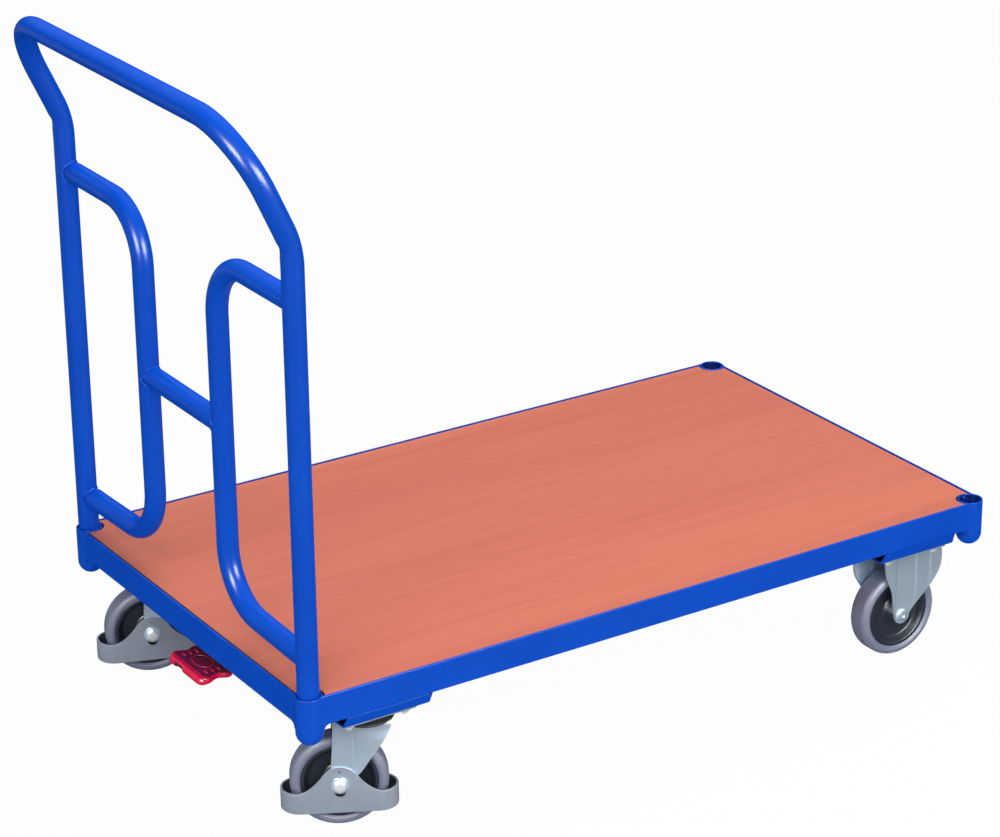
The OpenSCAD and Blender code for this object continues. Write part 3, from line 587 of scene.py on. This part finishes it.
def pan(x, y):
    """A sheet bent up at its front end, and a flange bent up along each side; the flanges lean outwards
    and narrow towards the top, so that the corners and the rear end stand open."""
    drop, sheet, bend, lap = rail_z - pan_z, 3, 3.5, 6
    end, end_lean, end_gap, end_taper = 62.5, 9, 0.5, 4
    side, side_lean, side_gap, side_taper = 49, 5.5, 1.5, 3.5
    low, top, half = pan_z + sheet / 2, rail_z, sheet / 2
    path, along = bent_line([(-end, 0, low), (end - half, 0, low),
                             (end + end_lean - half, 0, top)], [bend], 7)
    width = side - side_gap - side_taper * (path[:, 2] - low) / drop
    shells = [strip(path, along, (0, 1, 0), -width, width, sheet)]
    for sign in (-1, 1):
        path, along = bent_line([(0, sign * (side - lap), low), (0, sign * (side - half), low),
                                 (0, sign * (side + side_lean - half), top)], [bend], 7)
        length = end - end_gap - end_taper * (path[:, 2] - low) / drop
        shells.append(strip(path, along, (1, 0, 0), -length, length, sheet))
    return put(merge(*shells), (x, y, 0))


def pans():
    """One pan under each corner, with near-black painted shade inside."""
    straight, edge_line = 40, rail_z - 6
    for corner, _, _ in CORNERS:
        name = f"pan_{corner}"
        middle = sum(box(name)) / 2
        made = piece(name + "_sheet", pan(*middle[:2]), "frame", "frame_paint", [name])

        # The pan's inner faces and its floor take the near-black blue: painted shade
        def inside(normals, middles):
            floor = (normals[:, 2] > 0.7) & (middles[:, 2] < edge_line)
            return faces_in(normals, middles - middle, straight) | floor

        second_finish(made, "pan_painted_shade", inside)
        bevelled(made, 0.5)


pans()


# Castors
def along_axis(shell, origin, direction):
    """A piece made about Z, turned so that Z runs along the direction."""
    direction = np.asarray(direction, float)
    side = unit(np.cross(UP if abs(direction[2]) < 0.9 else (1, 0, 0), direction))
    return put(shell, origin, side, np.cross(direction, side), direction)


def swivel_place(side):
    """A swivel castor's place: its kingpin on the floor, the way to it from the axle, the axle's line."""
    pin = joint_at(f"swivel_{side}_turn")[0] * (1, 1, 0)
    axle, axis = joint_at(f"rear_wheel_{side}_spin")
    return pin, unit(pin - axle * (1, 1, 0)), axis


def top_plate():
    """A castor's plate: a rounded rectangle with four bolt holes."""
    hole_r, corner_r = 4.5, 6
    holes = [circle(x, y, hole_r, 24, True) for x in (-bolt_x, bolt_x) for y in (-bolt_y, bolt_y)]
    length, width = (plate_high - plate_low)[:2]
    return plate(round_rectangle(length, width, corner_r), plate_z, plate_z + plate_t, 0.5, holes)


def fork(back, front, top, bend, relief, boss=boss_r, half_turned=False):
    """A pressed fork: one sheet up a leg, over the crown and down the other. Its back and front edges
    are smooth lines over the height, and below the axle both follow the boss's circle. Half turned, the
    far leg is the near one turned half round, with a narrower back, and the crown blends the two."""
    low = np.radians(np.linspace(86, 0, 9, endpoint=False))
    heights = np.concatenate([-boss * np.sin(low), np.linspace(0, top - axle_z - bend, 30)])
    leg = np.column_stack([0 * heights, 0 * heights - leg_mid, heights + axle_z])
    start = top - bend - 0.5
    over, over_way = bent_line([(0, -leg_mid, start), (0, -leg_mid, top), (0, leg_mid, top),
                                (0, leg_mid, start)], [bend, bend], 9)
    crown = np.linspace(bend - leg_mid, leg_mid - bend, 11)[1:-1]
    split = len(over) // 2
    path = np.concatenate([leg[:-1], over[1:split],
                           np.column_stack([0 * crown, crown, 0 * crown + top]),
                           over[split:-1], leg[:-1][::-1] * (1, -1, 1)])
    up = np.tile((0.0, 0, 1), (len(leg) - 1, 1))
    level = np.tile((0.0, 1, 0), (len(crown), 1))
    along = np.concatenate([up, over_way[1:split], level, over_way[split:-1], -up])
    height = path[:, 2] - axle_z
    round_end = np.sqrt(np.clip(boss**2 - height**2, 0, None))
    low_edge, high_edge = (
        np.where(height < 0, sign * round_end, np.interp(height, *smooth_line(edge).T[::-1]))
        for sign, edge in ((-1, back), (1, front)))
    if half_turned:
        share = np.clip(path[:, 1] / leg_mid + 1, 0, 2) / 2
        narrow = 1 - 0.22 * step(height, 22, 28)
        low_edge, high_edge = (low_edge - share * (low_edge + narrow * high_edge),
                               high_edge - share * (low_edge + high_edge))
    return strip(path, along, (1, 0, 0), low_edge, high_edge, fork_t, 110, relief)


def swivel_fork():
    """The swivel castor's fork about its axle, and the dish under its kingpin. The legs have a flat
    back half, a shallow groove, and a front half that flares outwards as the square of the distance
    from the groove; all this fades out towards the crown."""
    boss, groove, crown_top, bend = 10.5, 19, 147.75, 7
    back = [(-boss, 0), (-10, 28), (-8, 60), (-7, 90)]
    front = [(boss, 0), (26, 14), (39, 33), (53, 54), (63.6, 73.5), (68, 88), (69, 96)]

    def relief(middle, reach):
        fade = 1 - step(middle[..., 2] - axle_z, 66, 18)
        on_leg = (np.abs(middle[..., 1]) > leg_mid - 0.1) * fade
        beyond = np.clip(reach - groove, 0, None)
        pressed = 0.8 * np.exp(-((reach - groove) / 2.2) ** 2)
        return on_leg * (0.3 - pressed + 0.0016 * beyond**2)

    shell = fork(back, front, crown_top, bend, relief, boss)
    pin_r, low, floor = 10.6, 146.6, 149
    rim = [(36.5, low), (38, 149.4), (36.6, 149.8), (35.2, floor)]
    section = bent_line([(pin_r, low), *rim, (pin_r, floor), (pin_r, 147)], [0.8] * 5, 4)[0]
    return shell, put(turned(section, 96, True), (trail, 0, 0))


def fixed_fork():
    """The fixed castor's fork about its axle: its legs are pressed in steps, inwards at the first and
    outwards at the other two, and the steps fade out towards the axle."""
    back = [(-boss_r, 0), (-16, 12), (-19, 36), (-29, 62), (-33, 80), (-33, 104)]
    front = [(boss_r, 0), (20, 8), (49, 36), (64, 58), (66, 80), (62, 92), (54, 104)]
    bend, under_plate = 4, 0.1

    def relief(middle, reach):
        fade = step(middle[..., 2] - axle_z, 16, 22)
        on_leg = fade * (np.abs(middle[..., 1]) > leg_mid - 0.1)
        out = np.where(middle[..., 1] > 0, -reach, reach)
        return on_leg * (1.1 - 1.1 * step(out, -13, 3) + 0.8 * step(out, 22, 4)
                         + 0.8 * step(out, 46, 4))

    crown_top = plate_z - fork_t / 2 - under_plate
    return fork(back, front, crown_top, bend, relief, half_turned=True)


def wheel_pieces(end, side):
    """Tyre and rim, turned about the axle: a tread with round shoulders, a dished rim, a long hub."""
    body = f"{end}_wheel_{side}"
    place, axis = joint_at(body + "_spin")
    low, high = box(f"tyre_front_{side}")
    r, half = (high - low)[2] / 2, (high - low)[1] / 2
    rim_r, shoulder = r - 13, 9
    tread = np.concatenate([arc(half - shoulder, r - shoulder, shoulder, 0, 90, 12)[:, ::-1],
                            arc(-half + shoulder, r - shoulder, shoulder, 90, 180, 12)[:, ::-1]])
    foot = [(rim_r, 3 - half), (rim_r, half - 3), (rim_r + 2.4, half - 0.5)]
    tyre = turned(np.concatenate([foot, tread, [(rim_r + 2.4, 0.5 - half)]]), 128, True)
    piece(f"tyre_{end}_{side}_tread", along_axis(tyre, place, axis), body, "tyre_rubber",
          [f"tyre_{end}_{side}"])
    lip, web, hub_r, hub_end, bush_r = 14, 3.5, 17, 17.7, 10.05
    dish = [(rim_r, lip), (rim_r - 4.6, lip), (rim_r - 9.4, web + 0.6), (rim_r - 12.4, web)]
    hub = [(hub_r + 3, web), (hub_r, web + 4), (hub_r - 3, hub_end - 1.4), (13, hub_end)]
    bends = [0.7, 1.4, 2, 1, 3, 2.5, 1, 1, 0.4]
    near = bent_line([(rim_r, 0), *dish, *hub, (bush_r, hub_end), (bush_r, 0)], bends, 5)[0]
    rim = turned(np.concatenate([near, near[::-1][1:-1] * (1, -1)]), 128, True)
    piece(f"rim_{end}_{side}_dish", along_axis(rim, place, axis), body, "rim_plastic",
          [f"rim_{end}_{side}"])


def foot_guard():
    """An oval band round the wheel, about the axle: its top edge follows a circle over the axle, then a
    parabola that levels out to the end bands; its cross-section is a wall with rounded edges."""
    length, inner, outer, wall = 149, 22.4, 25.6, 3.2
    bottom, band, top_r, turn, edge = 23 - axle_z, 28, 25.2, np.radians(55), 1.1
    straight, r = length / 2 - outer, (inner + outer) / 2
    bend = np.linspace(-np.pi / 2, np.pi / 2, 40)
    run = np.linspace(-straight, straight, 90)[1:-1]
    x = np.concatenate([straight + r * np.cos(bend), run[::-1], -straight - r * np.cos(bend), run])
    y = np.concatenate([r * np.sin(bend), 0 * run + r, -r * np.sin(bend), 0 * run - r])
    out = np.column_stack([x - np.clip(x, -straight, straight), y]) / r
    meet_x, meet_z = top_r * np.sin(turn), top_r * np.cos(turn)
    fall = meet_z - (bottom + band)
    level = 2 * fall / np.tan(turn)
    flank = np.clip((meet_x + level - np.abs(x)) / level, 0, 1)
    top = np.where(np.abs(x) < meet_x, np.sqrt(np.clip(top_r**2 - x**2, 0, None)),
                   bottom + band + fall * flank**2)
    a = np.radians(np.concatenate([np.linspace(k, k + 90, 5) for k in (0, 90, 180, 270)]))
    upper = np.repeat([True, True, False, False], 5)
    side = np.repeat([1, -1, -1, 1], 5)
    across = side * (wall / 2 - edge) + edge * np.cos(a)
    rise = np.where(upper, top[:, None] - edge, bottom + edge) + edge * np.sin(a)
    rings = np.stack([x[:, None] + across * out[:, :1], y[:, None] + across * out[:, 1:], rise], -1)
    return loft(rings, True)


def cut(made, *tools):
    """Takes the tools' shapes out of a piece by Boolean modifiers, and applies these."""
    cutters = []
    for tool in tools:
        cutters.append(in_scene("cutter", mesh_of("cutter", tool)))
        taking = made.modifiers.new("cut", "BOOLEAN")
        taking.operation = "DIFFERENCE"
        taking.solver = "EXACT"
        taking.object = cutters[-1]
    graph = bpy.context.evaluated_depsgraph_get()
    mesh = bpy.data.meshes.new_from_object(made.evaluated_get(graph))
    made.modifiers.clear()
    made.data = mesh
    for cutter in cutters:
        bpy.data.meshes.remove(cutter.data)
    mesh.set_sharp_from_angle(angle=np.radians(CREASE))


def guard_on(side, place):
    """A foot guard with its slot round the axle and the small hole above it, painted shade inside."""
    pin, ahead, axis = place
    axle = pin - trail * ahead + axle_z * UP
    band = put(foot_guard(), axle, ahead, axis, UP)
    made = piece(f"foot_guard_{side}_band", band, f"guard_{side}", "guard_plastic",
                 [f"foot_guard_{side}"])
    slot_r, slot_low, hole_r, hole_up, reach, straight = 7, -10.4, 1.75, 18.6, 40, 49
    slot = np.concatenate([arc(0, 0, slot_r, 0, 180, 16), arc(0, slot_low, slot_r, 180, 360, 16)])
    hole = circle(0, hole_up, hole_r, 20)
    tools = [plate(outline, -reach, reach, 0.2) for outline in (slot, hole)]
    cut(made, *(put(tool, axle, ahead, UP, axis) for tool in tools))
    turn = np.column_stack([ahead, axis, UP])
    # The band's inner faces take the dark grey: painted shade inside the guard
    second_finish(made, "guard_painted_shade", lambda normals, middles:
                  faces_in(normals @ turn, (middles - axle) @ turn, straight))


def axle_set(side, place):
    """The axle bolt with its head, and the nut with both washers and the collars in the slot."""
    pin, ahead, axis = place
    axle = pin - trail * ahead + axle_z * UP
    far, head, nut, washer, rod_r = 28, 5, 8, 2, 5
    tail = far + nut + 2
    shank = turned([(0.3, -far), (rod_r, -far), (rod_r, tail - 1), (4.2, tail), (0.3, tail)], 40)
    bolt = merge(along_axis(hexagon_head(13, head), axle - far * axis, -axis),
                 along_axis(shank, axle, axis))
    # The bolt takes the lighter zinc: painted highlight on its head
    piece(f"axle_bolt_{side}_hex", bolt, f"swivel_{side}", "zinc_steel",
          [f"axle_bolt_{side}"], "bolt_zinc_painted_highlight")
    bore_r, collar_r, collar_end, washer_r, seam = 5.1, 6.7, 22.1, 11.4, (5.1, 24)
    section = bent_line([seam, (bore_r, collar_end), (collar_r, collar_end),
                         (collar_r, far - washer), (washer_r, far - washer), (washer_r, far),
                         (bore_r, far), seam], [0.1, 0.1, 0.2, 0.5, 0.6, 0.2], 4)[0][:-1]
    shells = [along_axis(turned(section, 64, True), axle, k * axis) for k in (-1, 1)]
    shells.append(along_axis(hexagon_head(16, nut), axle + far * axis, axis))
    piece(f"axle_nut_{side}_set", merge(*shells), f"swivel_{side}", "zinc_steel", [f"axle_nut_{side}"])


def swivel_castor(side):
    """Plate and race on the frame; fork, axle, wheel and guard below; a kingpin dish in painted shade."""
    place = swivel_place(side)
    pin, ahead, axis = place
    bore_r, race_r, race_z = 10.2, 30, plate_z - 3.6
    section = bent_line([(bore_r, plate_z), (race_r, plate_z), (race_r, plate_z - 2.4),
                         (race_r - 1.4, race_z), (bore_r, race_z), (bore_r, plate_z)],
                        [0.6, 0.8, 0.8, 0.3], 4)[0][:-1]
    plate_and_race = merge(put(top_plate(), pin), put(turned(section, 96, True), pin))
    piece(f"swivel_plate_{side}_top", plate_and_race, "frame", "zinc_steel", [f"swivel_plate_{side}"])
    legs, dish = swivel_fork()
    shell = put(merge(legs, dish), pin - trail * ahead, ahead, axis, UP)
    made = piece(f"swivel_fork_{side}_legs", shell, f"swivel_{side}", "zinc_steel",
                 [f"swivel_fork_{side}"])

    # The dish and the fork's upward faces above its floor take near black: painted shade in the gap under the
    # plate
    def in_dish(normals, middles):
        shaded_top = (normals[:, 2] > 0.5) & (middles[:, 2] > dish_floor)
        return (np.arange(len(middles)) >= len(legs[1])) | shaded_top

    second_finish(made, "dish_painted_shade", in_dish)
    bevelled(made, 0.5)
    axle_set(side, place)
    wheel_pieces("rear", side)
    guard_on(side, place)


def fixed_castor(side):
    """Plate and fork in one piece, and the wheel."""
    axle = joint_at(f"front_wheel_{side}_spin")[0] * (1, 1, 0)
    shell = merge(put(top_plate(), axle + (plate_ahead, 0, 0)), put(fixed_fork(), axle))
    made = piece(f"fixed_fork_{side}_legs", shell, "frame", "zinc_steel", [f"fixed_fork_{side}"])
    bevelled(made, 0.4)
    wheel_pieces("front", side)


def fixed_axles():
    """Riveted axles: a rod with a domed head that has a small dimple at each end."""
    reach, rod_r = leg_mid + fork_t / 2, 5
    head = [(9, 0), (8.7, 1.4), (7.4, 2.5), (5.5, 3), (3.4, 3), (2.6, 2.4), (0.3, 2.2)]
    rod = np.concatenate([[(rod_r, 0), (rod_r, reach)], np.array(head) + (0, reach)])
    rivet = turned(np.concatenate([rod[:0:-1] * (1, -1), rod[1:]])[::-1], 48)
    shells = [along_axis(rivet, joint_at(f"front_wheel_{side}_spin")[0], (0, 1, 0))
              for side in SIDES]
    piece("fixed_axle_rivets", merge(*shells), "frame", "zinc_steel", ["fixed_axles"])


def castor_fasteners():
    """Sixteen bolts with heads in the pans, and their nuts under the plates."""
    plates = fixed_x + plate_ahead, joint_at("swivel_left_turn")[0][0]
    spots = [(x + dx, sign * castor_y + dy, 0) for x in plates for sign in (-1, 1)
             for dx in (-bolt_x, bolt_x) for dy in (-bolt_y, bolt_y)]
    head_z, end_z = pan_z + 3, box("castor_bolts")[0][2]
    across, head_h, nut_h, r, tip_r = 13, 5.3, 6.48, 4, 3.2
    shank = turned([(0.3, end_z), (tip_r, end_z), (r, end_z + r - tip_r), (r, head_z),
                    (0.3, head_z)], 32)
    bolt = merge(shank, put(hexagon_head(across, head_h), (0, 0, head_z)))
    nut = put(hexagon_head(across, nut_h), (0, 0, plate_z), z_axis=(0, 0, -1))
    # Bolts and nuts take the lighter zinc: painted highlight
    for kind, shell in (("bolt", bolt), ("nut", nut)):
        piece(f"castor_{kind}_set", merge(*(put(shell, spot) for spot in spots)), "frame",
              "zinc_steel", [f"castor_{kind}s"], "bolt_zinc_painted_highlight")


for side in SIDES:
    swivel_castor(side)
    fixed_castor(side)
fixed_axles()
castor_fasteners()
socket_screws()


# Brake pedal
def pedal():
    """A plate with a waist, a dip of one full cosine wave in each side, and a thick round lip along the
    front that thins out round both corners, with a recess low in it, painted darker as shade. On top a
    darker face with raised bars in two rows and a raised oval ring."""
    low, high = box("pedal_pad")
    length, width, top, thick = 50, (high - low)[1], high[2] - 2, 7
    waist, corner, lip_r, lip_room, margin = 5, 9, 5.9, 5, 1
    middle = low[0] - 2 + length / 2
    corners = round_rectangle(length - lip_room, width - 2 * margin, corner, 10)
    share = np.linspace(0, 1, 32)[1:-1]
    dip = np.column_stack([(length - lip_room - 2 * corner) * (share - 0.5),
                           width / 2 - margin - waist * (1 - np.cos(2 * np.pi * share)) / 2])
    outline = np.concatenate([corners[:10], dip[::-1], corners[10:30], dip * (1, -1), corners[30:]])
    outline = outline + (lip_room / 2, 0)
    pad = plate(outline, top - thick, top, 2.0, steps=6)

    lip_x, lip_y, lip_z = lip_r - length / 2, width / 2 - lip_r, top - lip_r
    end, bend_steps, run_steps, round_steps = lip_x + corner + 1, 12, 70, 40
    path, along = bent_line([(end, -lip_y, lip_z), (lip_x, -lip_y, lip_z), (lip_x, lip_y, lip_z),
                             (end, lip_y, lip_z)], [corner, corner], bend_steps)
    run = np.linspace(corner - lip_y, lip_y - corner, run_steps + 2)[1:-1]
    straight = np.column_stack([0 * run + lip_x, run, 0 * run + lip_z])
    path = np.insert(path, bend_steps + 1, straight, 0)
    along = np.insert(along, bend_steps + 1, np.tile((0.0, 1, 0), (run_steps, 1)), 0)
    thin = 2.6 * step(path[:, 0], lip_x + corner / 2, 1.2 * corner)
    points, faces = tube(path, along, UP, lip_r - thin, round_steps)
    out = points.reshape(-1, round_steps, 3) - path[:, None]
    in_run = step(path[:, 1:2], 4, 2) - step(path[:, 1:2], 25, 2)
    low_front = np.clip((-1.1 * out[..., 0] - 0.5 * out[..., 2]) / lip_r, 0, 1) ** 2
    recess = 0.4 * (in_run * low_front)[..., None]
    lip = (path[:, None] + out * (1 - recess)).reshape(-1, 3), faces
    made = piece("pedal_pad_plate", put(merge(pad, lip), (middle, 0, 0)), "brake_pedal",
                 "pedal_plastic", ["pedal_pad"])

    # The recess in the lip takes the darker red: painted shade in the hollow
    def in_recess(normals, middles):
        from_lip = np.hypot(middles[:, 0] - middle - lip_x, middles[:, 2] - lip_z)
        in_front = middles[:, 0] < middle + lip_x + 1
        return (np.abs(middles[:, 1] - 14.5) < 11) & (from_lip < 0.82 * lip_r) & in_front

    second_finish(made, "pedal_face_and_recess_shade", in_recess)
    inner = inset(outline, 3.5)
    face = plate(inner[inner[:, 0] > lip_x + 3], top - 1, top + 0.3, 0.2)
    piece("pedal_pad_face", put(face, (middle, 0, 0)), "brake_pedal", "pedal_plastic",
          finish="pedal_face_and_recess_shade")
    a = full_turn(64)
    oval_x, oval_y, oval_ahead, bead_r = 12, 19, 4, 0.9
    ring = np.column_stack([oval_x * np.cos(a) + oval_ahead, oval_y * np.sin(a), 0 * a + top])
    way = unit(np.column_stack([-oval_x * np.sin(a), oval_y * np.cos(a), 0 * a]))
    bar, bar_gap, bar_y = plate(round_rectangle(3.2, 9, 1.4, 5), -1, 1, 0.6), 9, 30
    bars = [put(bar, (i * bar_gap + 2, k * bar_y, top + 0.2)) for i in (-1, 0, 1) for k in (-1, 1)]
    tread = merge(tube(ring, way, UP, bead_r, 12, True), *bars)
    piece("pedal_pad_tread", put(tread, (middle, 0, 0)), "brake_pedal", "pedal_plastic")


pedal()


# Push bow
def push_bow():
    """One tube up from a socket, leaning back, across as the grip and down on the other side. Where it
    starts to lean, the hollow side has a dent that falls off as a bell curve along the tube."""
    lean_z = grip_z - lean_rise
    dent_depth, dent_run = 0.2, 9
    right = [(bow_x, -socket_y, deck_z - socket_depth), (bow_x, -socket_y, lean_z),
             (grip_x, -socket_y, grip_z)]
    left = [(x, -y, z) for x, y, z in reversed(right)]
    path, along = bent_line(right + left, [lean_bend, grip_bend, grip_bend, lean_bend], 36)
    lean = np.arctan2(bow_x - grip_x, lean_rise)
    points, faces = tube(path, along, (np.cos(lean), 0, np.sin(lean)), tube_r)
    out = points.reshape(len(path), -1, 3) - path[:, None]
    hollow = np.clip(-out[..., 0] / tube_r, 0, 1) ** 2
    dent = dent_depth * np.exp(-((path[:, 2:] - lean_z) / dent_run) ** 2) * hollow
    bent = (path[:, None] + out * (1 - dent[..., None])).reshape(-1, 3), faces
    piece("push_bow_tube", bent, "push_bow", "frame_paint", ["push_bow"])


def side_brackets():
    """On each side a tube from the upright inwards, down and back, a little in front of the uprights;
    the lower leg falls towards the upright, and the ends are squeezed to fit behind its front."""
    low, high = bracket_z
    end_y, end_run, squeezed = socket_y - 3, 24, 4
    for side, sign in SIDES.items():
        corners = [(bracket_x, sign * end_y, high), (bracket_x, sign * bracket_y, high),
                   (bracket_x, sign * bracket_y, low + leg_fall), (bracket_x, sign * end_y, low)]
        path, along = bent_line(corners, [bracket_bend, bracket_bend], 28)
        ends = np.linspace(0, end_run, 9)[1:, None] * (0, sign, 0)
        path = np.concatenate([path[:1], path[0] - ends, path[1:-1], path[-1] - ends[::-1],
                               path[-1:]])
        along = np.concatenate([along[:1], along[:1] + 0 * ends, along[1:-1],
                                along[-1:] + 0 * ends, along[-1:]])
        squeeze = squeezed * step(np.abs(path[:, 1]), socket_y - tube_r + 2, 8)
        piece(f"side_bracket_{side}_tube", tube(path, along, (1, 0, 0), tube_r - squeeze),
              "push_bow", "frame_paint", [f"side_bracket_{side}"])


def cross_tube():
    """A straight tube between the brackets."""
    reach = bracket_y - 6
    path = np.array([(bracket_x, -reach, cross_z), (bracket_x, reach, cross_z)])
    bar = tube(path, np.array([(0, 1, 0)] * 2), (1, 0, 0), tube_r)
    piece("cross_tube_bar", bar, "push_bow", "frame_paint", ["cross_tube"])


def weld_beads():
    """A bead round each joint of two tubes: at the angle a round the joining tube it lies off + r cos a
    across and r sin a up, and the rest of the right triangle out from the other tube's middle."""
    a = full_turn(180)
    bead_r, ripple, ripples, rounding = 1.3, 0.15, 36, 1.5
    passing = bracket_x - bow_x
    shells = []
    for sign in SIDES.values():
        for y, z, off in ((socket_y, bracket_z[0], passing), (socket_y, bracket_z[1], passing),
                          (bracket_y, cross_z, 0)):
            across = off + tube_r * np.cos(a)
            out = np.sqrt(np.clip(tube_r**2 - across**2, 0, None) + rounding)
            path = np.column_stack([bracket_x - off + np.clip(across, -tube_r, tube_r),
                                    sign * (y - out), z + tube_r * np.sin(a)])
            along = unit(np.roll(path, -1, 0) - np.roll(path, 1, 0))
            radius = bead_r + ripple * np.sin(ripples * a)
            shells.append(tube(path, along, (0, 1, 0), radius, 10, True))
    piece("bow_weld_beads", merge(*shells), "push_bow", "frame_paint", crease=70)


push_bow()
side_brackets()
cross_tube()
weld_beads()


# CAD nodes that stay as they are
for part in frame["record"]["subparts"]:
    node, slot = frame["nodes"][part["node"]], part["material_slot"]
    if not node.hide_render:
        node.data.materials.clear()
        node.data.materials.append(FINISHES[slot])

# Name, place, size and power of each lamp, and which light it gives: on surfaces or only in gloss
LAMPS = (
    ("key", (-2.6, -2.4, 3.4), (2.2, 2.2), 82, "diffuse"),
    ("fill", (2.6, -3.2, 2.2), (2.4, 2.4), 48, "diffuse"),
    ("top", (0.2, 0.4, 3.6), (2.6, 2.6), 68, "diffuse"),
    ("left_box", (-2.1, -1.0, 1.3), (0.9, 0.8), 300, "glossy"),
    ("right_box", (0.1, -2.1, 1.35), (1.5, 0.8), 460, "glossy"),
    ("far_card", (-2.0, 2.1, 0.35), (3.0, 1.0), 7, "glossy"),
)


# Floor, light and camera
def room():
    """An even pale sky that the camera sees as white. In gloss the room shows a bright backdrop above
    the floor and a soft light from the front left."""
    sky, to_white = 0.36, 0.62
    world = bpy.data.worlds.new("room")
    tree = Shading(world)
    place, ray = tree.node("TexCoord")["Generated"], tree.node("LightPath")

    def towards(way, start, end, strength):
        dot = tree.node("VectorMath", {0: place, 1: way}, operation="DOT_PRODUCT")["Value"]
        return tree.node("MapRange", {"Value": dot, "From Min": start, "From Max": end,
                                      "To Max": strength})["Result"]

    def combined(kind, *values):
        return tree.node("Math", enumerate(values), operation=kind)[0]

    backdrop = combined("MULTIPLY", towards((0.54, 0.84, 0), 0, 0.5, 1.2),
                        towards((0, 0, 1), 0.22, 0.4, 1))
    gloss = combined("ADD", backdrop, towards((-0.64, -0.77, 0), 0, 0.75, 0.32))
    level = tree.node("Mix", {0: ray["Is Glossy Ray"], 2: sky, 3: gloss})[0]
    seen = combined("MULTIPLY_ADD", ray["Is Camera Ray"], to_white, level)
    tree.feed(tree.nodes["Background"], {"Color": (1, 1, 1, 1), "Strength": seen})
    bpy.context.scene.world = world


def studio():
    """A pale floor that the camera sees as white, soft lamps that light the surfaces, and two boxes and
    a low card that only show in gloss."""
    reach, grey, seen_white = 14, 0.6, 0.97
    floor = bpy.data.meshes.new("floor")
    floor.from_pydata([(-reach, -reach, 0), (reach, -reach, 0), (reach, reach, 0),
                       (-reach, reach, 0)], [], [(0, 1, 2, 3)])
    ground = in_scene("floor", floor)
    pale = Finish("pale_floor", 0.9)
    pale.look({"Base Color": (grey, grey, grey, 1)})
    ray, white = pale.node("LightPath")["Is Camera Ray"], pale.node("Emission")[0]
    share = pale.node("Math", {0: ray, 1: seen_white}, operation="MULTIPLY")[0]
    mix = pale.node("MixShader", {"Fac": share, 1: pale.shader.outputs[0], 2: white})[0]
    pale.feed(pale.nodes["Material Output"], {"Surface": mix})
    floor.materials.append(pale.material)
    ground.visible_glossy = False
    room()
    aim = Vector((-0.4, 0, 0.4))
    for name, at, size, power, shows in LAMPS:
        lamp = bpy.data.lights.new(name, "AREA")
        lamp.energy = power
        lamp.shape = "RECTANGLE"
        lamp.size, lamp.size_y = size
        holder = in_scene(name, lamp)
        holder.location = at
        holder.rotation_euler = (aim - Vector(at)).to_track_quat("-Z", "Y").to_euler()
        holder.visible_diffuse = shows == "diffuse"
        holder.visible_glossy = shows == "glossy"
    bpy.context.scene.view_settings.view_transform = "Standard"


def camera():
    """The photo's viewpoint: looking at a point of the deck, with a slight roll."""
    azimuth, elevation, roll = np.radians((57.426, -22.630, -0.662))
    target, distance = np.array([143.27, 302.69, deck_z]) * MM, 4.78735
    ahead = np.array([np.cos(elevation) * np.cos(azimuth), np.cos(elevation) * np.sin(azimuth),
                      np.sin(elevation)])
    level = np.array([np.sin(azimuth), -np.cos(azimuth), 0])
    above = np.cross(level, ahead)
    right = np.cos(roll) * level + np.sin(roll) * above
    top = np.cos(roll) * above - np.sin(roll) * level
    place = np.eye(4)
    place[:3] = np.column_stack([right, top, -ahead, target - distance * ahead])
    lens = bpy.data.cameras.new("photo_view")
    lens.lens = 118.594
    lens.sensor_width = 36
    lens.sensor_fit = "HORIZONTAL"
    viewer = in_scene("photo_view", lens)
    viewer.matrix_world = Matrix(place.tolist())
    bpy.context.scene.camera = viewer


studio()
camera()
